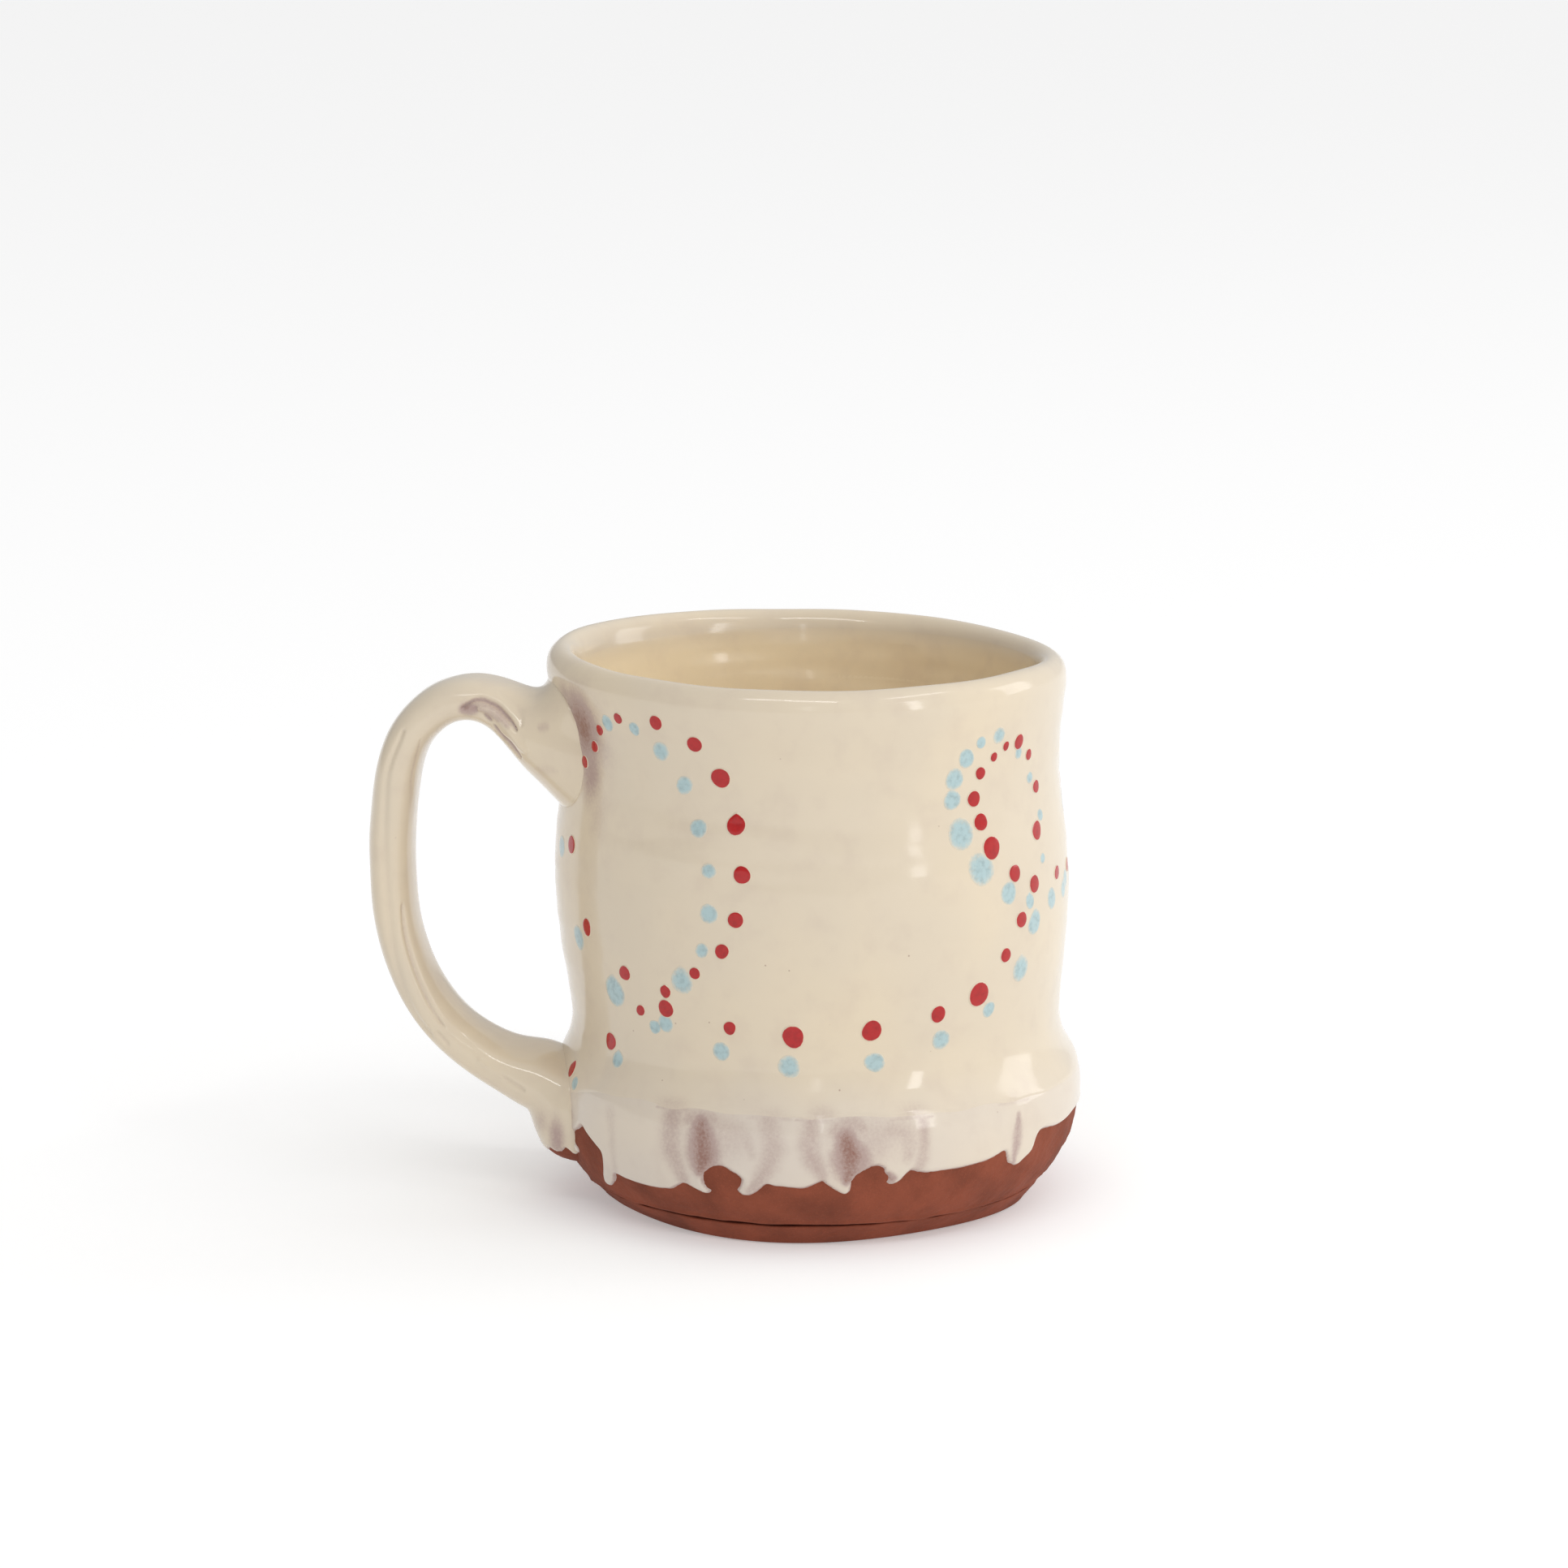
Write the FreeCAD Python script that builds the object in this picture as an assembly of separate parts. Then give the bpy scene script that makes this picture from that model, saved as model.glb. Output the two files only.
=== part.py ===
import FreeCAD, Part
import itertools
import math
import os

# Handmade mug: red-clay body on a slab foot, pulled handle, cream glaze, two dotted trails.
# Millimetres. The origin is the middle of the foot on the table, +Z is up, the handle is on -X.
# Angles go round the mug from its front (-Y) towards +X, so the handle is near -90 degrees.

# ---- driving dimensions ----
SEAM_HEIGHT = 3.9          # top of the base slab
SEAM_RADIUS = 39.9         # base slab at the seam
GROUND_RADIUS = 35.9       # base slab where it touches the table
GROUND_WAVE = 1.2          # four gentle lobes of the cut foot
SLIP = 0.4                 # clay slip left in each joint
SLIP_RECESS = 0.9          # how far the slip sits back in the seam groove
GLAZE = 0.4                # glaze thickness
DOT_RELIEF = 0.25          # how far a dot stands above the glaze
RIM_LIFT = 1.3             # the rim is higher on the handle side
RIM_DIP = 1.0              # and lower opposite
LIFT_STARTS = 60.0         # height where the rim's unevenness begins
LIFT_SPAN = 35.0
RING_POLES = 36            # control points round the body
LIP_TOP_ROW = 24           # row of BODY that is the rim's crest
DIP_POLES = 180            # control points round the glaze's lower edge
DIP_DEPTH = 30.0           # the region under that edge reaches below the foot
HANDLE_OFFSET = -5.0       # the handle meets the wall a little to the front of centre
HANDLE_TURN = 3.4          # degrees that it then leans back
HANDLE_ROOT_X = -44.0      # where the turn is taken
STRAP_CORNER = 4.5         # the section is squarer where the strap is thin, rounder at its ends
STRAP_POLES = 20

# Clay body from the seam, up the outside, over the lip and down the inside: (radius, height).
BODY = [
    (40.1, 4.3), (41.9, 6.2), (43.7, 9.0), (44.9, 12.0), (45.6, 15.2), (45.8, 18.4),
    (45.6, 21.4), (45.1, 23.8), (44.0, 25.8), (42.8, 27.9), (42.0, 31.0), (42.2, 35.5),
    (43.0, 41.0), (43.8, 47.0), (44.2, 53.0), (44.2, 59.0), (43.8, 65.0), (43.1, 70.5),
    (42.5, 75.5), (42.7, 80.5), (43.1, 85.0), (43.9, 88.6), (44.6, 91.6), (44.2, 94.6),
    (42.1, 96.0), (40.2, 94.6), (39.7, 91.6), (39.4, 87.5), (38.7, 82.0), (38.1, 76.0),
    (38.4, 70.0), (39.1, 64.0), (39.6, 58.0), (39.5, 52.0), (39.0, 46.0), (38.3, 40.5),
    (37.8, 35.5), (37.7, 30.5), (38.6, 26.5), (40.0, 23.0), (40.9, 19.0), (40.8, 15.0),
    (39.8, 11.0), (38.0, 7.8), (35.9, 5.6), (33.4, 4.3),
]

# The throwing axis wanders: (height, sideways shift towards +X).
LEAN = [(0, 0), (22, 0.8), (42, 0.1), (60, -0.4), (84, -0.6), (91, -1.2), (100, -1.2)]

# Lower edge of the dipped glaze: level by angle, rising towards +X.
DIP_LEVELS = [(-180, 14.5), (-130, 13.5), (-95, 14.0), (-62, 14.0), (-50, 10.2), (-35, 9.9),
              (0, 12.6), (30, 14.2), (60, 16.4), (120, 16.8), (160, 15.6), (180, 14.5)]

# Bare notches left by the fingers that held the mug in the dip: (angle, half width, rise).
NOTCHES = [(-20.5, 5.5, 4.6), (12.0, 6.0, 3.4), (57.5, 5.0, 1.6), (150.0, 6.0, 3.6)]

# Tongues where the glaze ran down beside them: (angle, half width, drop).
TONGUES = [(-56.5, 4.0, 5.8), (-25.5, 3.6, 1.6), (-15.2, 3.6, 1.6), (6.0, 4.0, 1.8),
           (17.5, 3.6, 1.8), (49.5, 4.4, 3.6), (144.0, 3.8, 1.8), (156.5, 3.8, 1.6)]

# Handle stations from the upper joint round to the lower one: (x, z, thickness, width).
HANDLE = [
    (-34.0, 79.2, 21.0, 29.0), (-40.4, 80.4, 20.0, 26.6), (-43.9, 81.8, 16.4, 24.8),
    (-47.3, 82.7, 12.0, 22.2), (-50.5, 84.5, 8.1, 19.0), (-54.0, 87.3, 7.2, 16.4),
    (-58.4, 88.5, 6.7, 15.2), (-62.9, 87.7, 6.7, 15.0), (-66.5, 85.2, 6.8, 15.0),
    (-69.7, 81.6, 6.9, 15.0), (-71.7, 75.6, 7.0, 15.0), (-72.8, 66.0, 7.0, 15.0),
    (-73.0, 57.0, 6.9, 15.0), (-72.3, 48.6, 6.8, 15.0), (-69.9, 40.0, 6.7, 15.0),
    (-65.2, 31.9, 6.8, 15.4), (-58.7, 26.3, 7.2, 16.2), (-52.9, 23.3, 7.9, 18.4),
    (-47.9, 21.8, 11.2, 20.8), (-44.9, 20.5, 10.8, 22.0), (-42.8, 16.2, 21.8, 24.2),
    (-34.0, 16.6, 19.6, 26.0),
]

# Red trail in the order it was dotted on: (angle, height, diameter).
RED_FRONT = [
    (-70, 25, 2.2), (-55, 32.2, 2.7), (-42.6, 39.4, 1.7), (-34.6, 43.6, 1.9), (-26.5, 47.6, 1.8),
    (-19.7, 51.9, 2.2), (-16.4, 57.4, 2.4), (-15, 65, 2.6), (-16.5, 73.2, 2.9), (-20, 81, 2.9),
    (-25.5, 86.5, 2.4), (-34.3, 89.6, 2.2), (-45.4, 89.3, 1.7), (-53.3, 86.4, 1.7),
    (-56.8, 83.1, 1.8), (-62.1, 79.8, 1.9), (-67.4, 74.4, 2.4), (-67.4, 64.8, 2.7),
    (-59.3, 51.7, 2.6), (-46.3, 45.5, 2.3), (-35, 40.6, 2.7), (-19.2, 38.5, 2), (-4.8, 37.5, 3.3),
    (12.8, 38.4, 3.1), (28.6, 40.3, 2.5), (39.5, 42.7, 3.7), (47.3, 48.6, 2.2), (52.5, 54.1, 2.5),
    (58.1, 59.5, 2.7), (60.8, 68.3, 2.8), (62.5, 75.6, 2), (58.6, 81.6, 1.7), (53.8, 84.4, 2.3),
    (49, 84.2, 1.4), (45.2, 82.7, 1.4), (41.2, 80.3, 1.9), (39.3, 76.1, 2.4), (41.1, 72, 2.6),
    (43.7, 67.4, 3.4), (50.6, 62.3, 2.6), (70.8, 59.6, 2.2),
]
RED_BACK = [
    (82, 59.2, 2.2), (94, 59.5, 2.4), (106, 62, 2.6), (115, 67.5, 2.2), (119, 75, 2.8),
    (116, 82, 2.4), (108, 86, 2), (100, 85, 1.8), (94.5, 80, 2.4), (93.5, 73, 2.7), (97, 66.5, 2.4),
    (104, 56, 2.6), (111, 48.5, 2.1), (121, 43.5, 2.9), (133, 40.5, 2.4), (146, 38.5, 3.1),
    (159, 38, 2.5), (171, 40.5, 2), (180.5, 45.5, 2.4), (187.5, 52.5, 2.7), (192, 60.5, 2.2),
    (193.5, 69.5, 3), (191, 78, 2.5), (185, 84.5, 2.1), (176.5, 87.5, 1.8), (168, 86, 2.3),
    (162.5, 80.5, 2.6), (160.5, 72.5, 2.2), (163.5, 64.5, 2.8), (171, 58, 2.4), (181, 55, 2),
    (201, 53.5, 2.6), (212, 49.5, 2.2), (223, 43, 2.8), (233, 36, 2.1), (243, 29.5, 2.5),
]

# Blue trail, dotted beside the red one.
BLUE_FRONT = [
    (-66, 23.3, 1.8), (-51.9, 29.5, 2.2), (-35.6, 37.9, 2.4), (-38.8, 36.9, 1.9), (-30, 45.9, 3.3),
    (-24.4, 51.7, 1.9), (-22.5, 58.1, 2.5), (-22.6, 65.3, 2), (-25.4, 72.2, 2.4), (-29, 79.2, 2.4),
    (-34.6, 84.6, 2.5), (-41, 87.9, 1.8), (-49.7, 88, 2.2), (-66.5, 80.5, 2.2), (-74, 74, 2.4),
    (-74.6, 63.4, 3), (-64.4, 49.1, 3.2), (-50.8, 41.6, 3.9), (-21.7, 34.2, 2.4), (-6, 32.3, 2.9),
    (13.4, 32.8, 2.6), (29.6, 35.7, 2.6), (42.9, 39.6, 2.1), (53, 45.4, 3.3), (57.9, 52.8, 3.1),
    (56, 56.8, 2), (62.5, 63.3, 1.4), (63.5, 70.6, 1.6), (59.5, 77.5, 1.6), (54.2, 82.4, 1.6),
    (46.5, 86.3, 2.2), (41, 85.6, 1.6), (37, 83.2, 2.5), (33.9, 79.9, 2.8), (33.3, 76.4, 2.6),
    (35.3, 70.5, 4), (40.2, 64.2, 4.3), (48.4, 59.2, 3), (66.8, 55.7, 2.9), (78.4, 57.4, 2.4),
]
BLUE_BACK_SHIFT = (-6.0, -3.2)     # degrees and millimetres from each red dot on the back
BLUE_BACK_GROWTH = 1.15

DIP_CUT = (30.0, 56.0)              # radii between which the dip edge is cut
PIN_START = 40.0
PIN_LENGTH = 12.0


# ---- small helpers ----
def between(table, x):
    """Straight-line value of a two-column table."""
    for (x0, y0), (x1, y1) in zip(table, table[1:]):
        if x <= x1:
            return y0 + (y1 - y0) * (x - x0) / (x1 - x0)
    return table[-1][1]


def window(angle, centre, half_width):
    """Smooth hump, 1 at its centre and 0 beyond its half width."""
    away = abs((angle - centre + 180.0) % 360.0 - 180.0) / half_width
    return math.cos(away * math.pi / 2.0) ** 2 if away < 1.0 else 0.0


def rim_lift(angle, height):
    """How far the uneven rim raises a point of the body."""
    share = min(max((height - LIFT_STARTS) / LIFT_SPAN, 0.0), 1.0)
    return share * (RIM_LIFT * window(angle, -98.0, 100.0) - RIM_DIP * window(angle, 108.0, 55.0))


def polar(radius, angle, height, lean=0.0):
    """Point round the mug, from the front towards +X."""
    turn = math.radians(angle)
    return FreeCAD.Vector(radius * math.sin(turn) + lean, -radius * math.cos(turn), height)


def pole_scale(count):
    """A closed cubic spline runs inside its control points by this factor."""
    return 6.0 / (4.0 + 2.0 * math.cos(2.0 * math.pi / count))


def tube_face(rings):
    """Smooth face along rings of control points, each ring closed."""
    around = len(rings[0])
    along = len(rings)
    poles = [[rings[j][i] for j in range(along)] for i in range(around)]
    surface = Part.BSplineSurface()
    surface.buildFromPolesMultsKnots(
        poles, [1] * (around + 1), [4] + [1] * (along - 4) + [4],
        list(range(around + 1)), list(range(along - 2)), True, False, 3, 3)
    return surface.toShape()


def closed_curve(points):
    """Closed cubic spline with these control points."""
    curve = Part.BSplineCurve()
    curve.buildFromPolesMultsKnots(
        points, [1] * (len(points) + 1), list(range(len(points) + 1)), True, 3)
    return curve.toShape()


def solid_of(side, others):
    """Closed solid from one face and the faces that close it, whichever way round those are."""
    for flips in itertools.product((False, True), repeat=len(others)):
        faces = [face.reversed() if flip else face for face, flip in zip(others, flips)]
        solid = Part.Solid(Part.makeShell([side] + faces))
        if solid.isValid():
            break
    if solid.Volume < 0:
        solid.reverse()
    return solid


def end_wires(face):
    """The first and last rings of a tube face."""
    rings = [edge for edge in face.Edges if edge.Closed]
    return [Part.Wire(ring) for ring in rings]


# ---- body ----
def swollen(profile, distance):
    """The profile moved outward along its own normals."""
    moved = []
    for i, (radius, height) in enumerate(profile):
        r0, z0 = profile[max(i - 1, 0)]
        r1, z1 = profile[min(i + 1, len(profile) - 1)]
        length = math.hypot(r1 - r0, z1 - z0)
        side = (z1 - z0) / length
        rise = -(r1 - r0) / length
        if i in (0, len(profile) - 1):
            side, rise = math.copysign(1.0, side), 0.0
        moved.append((radius + distance * side, height + distance * rise))
    return moved


def ring_poles(radius, height, unevenness=1.0):
    """Control points of one level ring of the body."""
    lean = between(LEAN, height)
    ring = []
    for k in range(RING_POLES):
        angle = 360.0 * k / RING_POLES - 180.0
        lifted = height + unevenness * rim_lift(angle, height)
        ring.append(polar(radius * pole_scale(RING_POLES), angle, lifted, lean))
    return ring


def body_ring(distance):
    """The clay wall as a ring-shaped solid, swollen by a coating's thickness."""
    skin = tube_face([ring_poles(radius, height) for radius, height in swollen(BODY, distance)])
    foot = Part.Face(sorted(end_wires(skin), key=lambda wire: -wire.Length))
    return solid_of(skin, [foot])


def rising(rows):
    """Rows of a profile as a height-to-radius table."""
    return sorted((height, radius) for radius, height in rows)


def core():
    """Everything inside the middle of the wall and the rim's crest."""
    outside = rising(BODY[:LIP_TOP_ROW])
    inside = rising(BODY[LIP_TOP_ROW + 1:])
    middle = [((radius + between(inside, height)) / 2.0, height) for height, radius in outside]
    crest = BODY[LIP_TOP_ROW][0]
    profile = [(middle[0][0], -5.0)] + middle + [(crest, 97.0), (crest, 100.0)]
    rings = [ring_poles(radius, height) for radius, height in profile]
    rings.append(ring_poles(crest, 110.0, 0.0))
    skin = tube_face(rings)
    return solid_of(skin, [Part.Face(wire) for wire in end_wires(skin)])


# ---- foot ----
def foot_curve(radius, wave, height):
    """Outline of the slab foot with its four soft lobes."""
    points = []
    for k in range(RING_POLES):
        angle = 360.0 * k / RING_POLES
        lobes = wave * math.cos(math.radians(4.0 * (angle + 12.0)))
        points.append(polar((radius + lobes) * pole_scale(RING_POLES), angle, height))
    return Part.Wire(closed_curve(points))


def base_slab():
    """Rolled slab under the wall, cut in below the seam."""
    ground = foot_curve(GROUND_RADIUS, GROUND_WAVE, 0.0)
    seam = foot_curve(SEAM_RADIUS, GROUND_WAVE / 3.0, SEAM_HEIGHT)
    return Part.makeLoft([ground, seam], True, True)


def base_slip_ring():
    """Slip squeezed between slab and wall, set back in the seam groove."""
    base = FreeCAD.Vector(0, 0, SEAM_HEIGHT)
    outside = Part.makeCylinder(SEAM_RADIUS - SLIP_RECESS, SLIP, base)
    inside = Part.makeCylinder(BODY[-1][0], SLIP, base)
    return outside.cut(inside)


# ---- glaze ----
def dip_height(angle):
    """Height of the glaze's lower edge."""
    angle = (angle + 180.0) % 360.0 - 180.0
    height = between(DIP_LEVELS, angle)
    rises = sum(rise * window(angle, centre, half) for centre, half, rise in NOTCHES)
    drops = sum(drop * window(angle, centre, half) for centre, half, drop in TONGUES)
    return height + rises - drops


def below_dip():
    """Ring-shaped region under the glaze's lower edge."""
    scale = pole_scale(DIP_POLES)
    angles = [360.0 * k / DIP_POLES for k in range(DIP_POLES)]
    edges = [closed_curve([polar(radius * scale, angle, dip_height(angle)) for angle in angles])
             for radius in DIP_CUT]
    return Part.makeRuledSurface(*edges).extrude(FreeCAD.Vector(0, 0, -DIP_DEPTH))


# ---- handle ----
def placed(point):
    """Handle point turned and shifted to its place on the wall."""
    turned = FreeCAD.Vector(point)
    turned.y += HANDLE_OFFSET
    pivot = FreeCAD.Vector(HANDLE_ROOT_X, HANDLE_OFFSET, 0)
    spin = FreeCAD.Rotation(FreeCAD.Vector(0, 0, 1), -HANDLE_TURN)
    return spin.multVec(turned - pivot) + pivot


def strap_ring(i, coat):
    """Control points of the strap's section at one station."""
    x, z, thick, width = HANDLE[i]
    before = HANDLE[max(i - 1, 0)]
    after = HANDLE[min(i + 1, len(HANDLE) - 1)]
    run = FreeCAD.Vector(after[0] - before[0], 0, after[1] - before[1]).normalize()
    out = FreeCAD.Vector(run.z, 0, -run.x)
    side = FreeCAD.Vector(0, 1, 0)
    centre = FreeCAD.Vector(x, 0, z)
    power = 2.0 / (2.0 + STRAP_CORNER / thick)
    scale = pole_scale(STRAP_POLES)
    ring = []
    for k in range(STRAP_POLES):
        turn = 2.0 * math.pi * k / STRAP_POLES
        c = math.copysign(abs(math.cos(turn)) ** power, math.cos(turn))
        s = math.copysign(abs(math.sin(turn)) ** power, math.sin(turn))
        across = out * (c * scale * (thick / 2.0 + coat)) + side * (s * scale * (width / 2.0 + coat))
        ring.append(placed(centre + across))
    return ring


def strap(coat):
    """Whole handle as one tube, its ends buried in the wall."""
    skin = tube_face([strap_ring(i, coat) for i in range(len(HANDLE))])
    return solid_of(skin, [Part.Face(wire) for wire in end_wires(skin)])


# ---- dots ----
def pin(angle, height, size):
    """Radial pin that cuts one dot out of the dot layer."""
    start = polar(PIN_START, angle, height, between(LEAN, height))
    return Part.makeCylinder(size / 2.0, PIN_LENGTH, start, polar(1.0, angle, 0.0))


def dots_of(layer, dots):
    """Raised dots that follow the glaze surface."""
    pieces = []
    for dot in dots:
        pieces.extend(layer.common(pin(*dot)).Solids)
    return Part.makeCompound(pieces)


def blue_back():
    """The blue companions of the red dots on the back."""
    turn, drop = BLUE_BACK_SHIFT
    return [(angle + turn, height + drop, size * BLUE_BACK_GROWTH)
            for angle, height, size in RED_BACK]


# ---- assembly ----
def build():
    """All the nodes by name."""
    wall = body_ring(0.0)
    glazed = body_ring(GLAZE)
    raised = body_ring(GLAZE + DOT_RELIEF)
    inside = core()
    coat = glazed.cut(wall)
    outside = coat.cut(inside)
    floor = Part.makeCylinder(BODY[-1][0], SLIP + GLAZE, FreeCAD.Vector(0, 0, SEAM_HEIGHT))
    handle_clay = strap(0.0)
    handle_coat = strap(GLAZE)
    joints = sorted(outside.common(handle_clay).Solids, key=lambda piece: piece.CenterOfMass.z)
    body = wall.fuse(outside).fuse(inside)
    layer = raised.cut(glazed).cut(inside).cut(handle_coat)
    return {
        "base_slab": base_slab(),
        "base_slip_ring": base_slip_ring(),
        "wall": wall,
        "handle": handle_clay.cut(body),
        "upper_slip_joint": joints[-1],
        "lower_slip_joint": joints[0],
        "liner_glaze": coat.common(inside).fuse(floor.cut(wall)).removeSplitter(),
        "outer_glaze": outside.cut(below_dip()).cut(handle_clay),
        "handle_glaze": handle_coat.cut(handle_clay).cut(body),
        "red_dots": dots_of(layer, RED_FRONT + RED_BACK),
        "blue_dots": dots_of(layer, BLUE_FRONT + blue_back()),
    }


os.makedirs("parts", exist_ok=True)
for name, shape in build().items():
    shape.exportStep(os.path.join("parts", name + ".step"))
    print(name, len(shape.Solids), "solid", round(shape.Volume / 1000.0, 2), "cm3", shape.isValid())
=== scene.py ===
import math

import bpy
import numpy as np
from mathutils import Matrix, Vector
from mathutils.bvhtree import BVHTree


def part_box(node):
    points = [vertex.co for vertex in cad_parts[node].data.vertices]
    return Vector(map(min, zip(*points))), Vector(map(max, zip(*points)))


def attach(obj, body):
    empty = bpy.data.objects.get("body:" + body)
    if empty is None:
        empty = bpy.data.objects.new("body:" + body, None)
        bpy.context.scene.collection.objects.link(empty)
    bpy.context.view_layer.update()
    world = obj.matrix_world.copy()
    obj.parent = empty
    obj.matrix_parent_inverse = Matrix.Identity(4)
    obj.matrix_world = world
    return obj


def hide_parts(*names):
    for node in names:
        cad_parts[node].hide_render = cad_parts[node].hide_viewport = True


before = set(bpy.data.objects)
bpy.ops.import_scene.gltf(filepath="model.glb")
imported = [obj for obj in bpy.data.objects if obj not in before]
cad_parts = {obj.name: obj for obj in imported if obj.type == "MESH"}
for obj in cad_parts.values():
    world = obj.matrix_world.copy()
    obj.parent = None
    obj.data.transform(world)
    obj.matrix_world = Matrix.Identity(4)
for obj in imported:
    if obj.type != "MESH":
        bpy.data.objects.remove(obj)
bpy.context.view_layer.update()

# Handmade red-clay mug with a cream glaze. Lengths are millimetres until a mesh is made.
# Angles are degrees round the mug from its front (-Y) towards +X; the handle is near -90.
MM = 0.001

# ---- measuring the CAD wall ----
PROBE_TURN = 5.0      # degrees between the rays round the wall
PROBE_STEP = 1.2      # millimetres between the rays up the wall
INSIDE_LIFT = 0.9     # the inner rays are this much higher than the outer ones
LIP_TURN = 10.0       # degrees between the rays round the lip
WALL_FOOT = 4.4       # lowest ray
LIP_START = 92.0      # where the outer and inner rays hand over to the lip's
WALL_HARMONICS = 8    # the thrown wall has no finer wave round it than this
FAR = 70.0            # outside the mug

# The wall's lower edge, softened at the seam: (inset, height).
WALL_EDGE = [(0.06, 4.72), (0.20, 4.48), (0.5, 4.28), (1.3, 4.20), (5.0, 4.25)]

# ---- glaze ----
COAT = 0.39           # glaze thickness
EDGE_ROLL = 0.75      # width of the rounded edge where the glaze stops
SUNK = -0.35          # a coat's surface where there is no glaze: under the clay
LINE_STEP = 0.07      # the second dip stands this much above the first
THROWING = 0.035      # height of the throwing marks
BEAD = 0.07           # extra thickness where the glaze gathers behind its edge
THIN_LOSS = 0.16      # glaze missing where a finger has rubbed it thin
DIP_EDGE = 0.28       # the second dip's thickness at its own edge
DIP_END = 78.0        # how far down the inside the second dip runs
LINER_TOP = 86.0      # the liner glaze starts here, under the second dip
SKIRT_LOW = 5.2       # the first dip is modelled from here
SKIRT_TOP = 27.0      # to here, under the second dip
DRAWN_IN = 1.5        # the wall draws in this much from the bulge to the glaze edge
BULGE_RADIUS = 45.0
FOOT_RADIUS = 40.0
WIDER = 1.5           # the finger marks bleed sideways by this much
EDGE_OF_DOT = 0.30    # share of a dot's reach where its colour stops

# Angles between which the finger marks need close points.
BUSY_TURNS = [(-72.0, 80.0), (136.0, 166.0)]
BUSY_STEP = 0.42
PLAIN_STEP = 0.95

# Lower edge of the glaze in the order it runs round the mug: (angle, height).
GLAZE_EDGE = [
    (-180, 14.6), (-165, 14.1), (-150, 13.6), (-138, 13.2), (-128, 13.4), (-121, 14.4),
    (-117, 15.2), (-113, 13.0), (-109, 11.0), (-100, 10.5), (-80, 10.5), (-66.9, 10.7),
    (-65.1, 12.0), (-66.8, 13.0), (-67.2, 13.7), (-66.1, 14.6), (-63.5, 15.7), (-61.2, 16.7),
    (-59.1, 15.8), (-57.2, 15.0), (-55.3, 14.2), (-53.6, 13.3), (-53.8, 11.8), (-54.7, 10.3),
    (-56.3, 8.7), (-57.3, 7.3), (-56.6, 6.8), (-55.8, 6.6), (-53.8, 7.3), (-51.8, 8.5),
    (-50.5, 9.8), (-49.1, 9.9), (-47.0, 9.6), (-44.2, 9.4), (-41.2, 9.3), (-37.6, 9.3),
    (-33.9, 9.6), (-32.5, 10.0), (-30.7, 10.8), (-29.6, 11.2), (-28.5, 11.1), (-26.9, 10.5),
    (-25.6, 10.1), (-24.6, 9.8), (-23.8, 9.9), (-22.8, 10.4), (-23.4, 10.7), (-24.0, 11.2),
    (-24.5, 11.9), (-24.5, 12.6), (-24.1, 13.4), (-23.5, 14.1), (-22.6, 14.7), (-21.3, 15.2),
    (-19.8, 15.3), (-18.7, 15.0), (-17.4, 14.4), (-16.2, 13.9), (-15.4, 13.3), (-15.3, 12.9),
    (-15.8, 11.9), (-16.5, 11.1), (-16.1, 10.6), (-15.4, 10.2), (-14.4, 10.2), (-13.4, 10.5),
    (-12.1, 11.2), (-11.1, 11.9), (-10.1, 12.5), (-9.1, 12.4), (-7.7, 12.2), (-2.6, 12.0),
    (-0.8, 12.4), (0.9, 13.0), (2.0, 13.4), (2.8, 12.8), (4.1, 12.0), (5.4, 11.3), (6.6, 10.8),
    (7.3, 10.9), (7.9, 11.4), (8.0, 12.1), (8.1, 13.1), (8.6, 13.8), (9.6, 14.6), (10.8, 15.2),
    (12.1, 15.7), (13.3, 15.9), (14.4, 15.7), (15.1, 15.3), (15.5, 14.4), (16.2, 13.6),
    (15.9, 12.6), (16.8, 12.3), (17.7, 12.4), (18.7, 12.8), (19.9, 13.8), (21.0, 14.6),
    (22.0, 14.4), (25.3, 13.8), (29.5, 13.8), (34.2, 13.9), (39.4, 14.2), (42.3, 14.7),
    (44.6, 15.2), (45.6, 14.2), (46.5, 13.0), (48.4, 12.2), (50.2, 11.9), (51.9, 12.6),
    (54.0, 13.5), (54.8, 14.5), (55.4, 16.0), (56.7, 16.9), (58.9, 17.0), (61.4, 16.7),
    (65.4, 16.4), (70.1, 16.5), (75.2, 16.9), (85, 16.9), (100, 16.7), (115, 16.3), (125, 15.6),
    (133, 15.0), (138, 14.7), (140, 14.2), (142, 13.5), (143.6, 13.1), (145.2, 13.4),
    (144.6, 14.3), (144.2, 15.3), (144.8, 16.3), (146.4, 17.3), (148.6, 18.0), (151, 18.3),
    (153.4, 17.9), (155.2, 17.0), (156.3, 15.9), (155.7, 14.9), (156.4, 14.0), (157.7, 13.6),
    (159.2, 13.9), (161, 14.6), (164, 15.0), (171, 14.9), (180, 14.6),
]

# Where the second dip's edge crosses the bulge: (angle, height).
DIP_LINE = [(-180, 22.6), (-120, 21.5), (-90, 20.8), (-69, 20.7), (-57, 22.6), (-34, 23.8),
            (-11, 23.8), (10, 23.6), (27, 23.2), (42, 23.1), (60, 22.7), (90, 22.5),
            (140, 23.0), (180, 22.6)]

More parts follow.
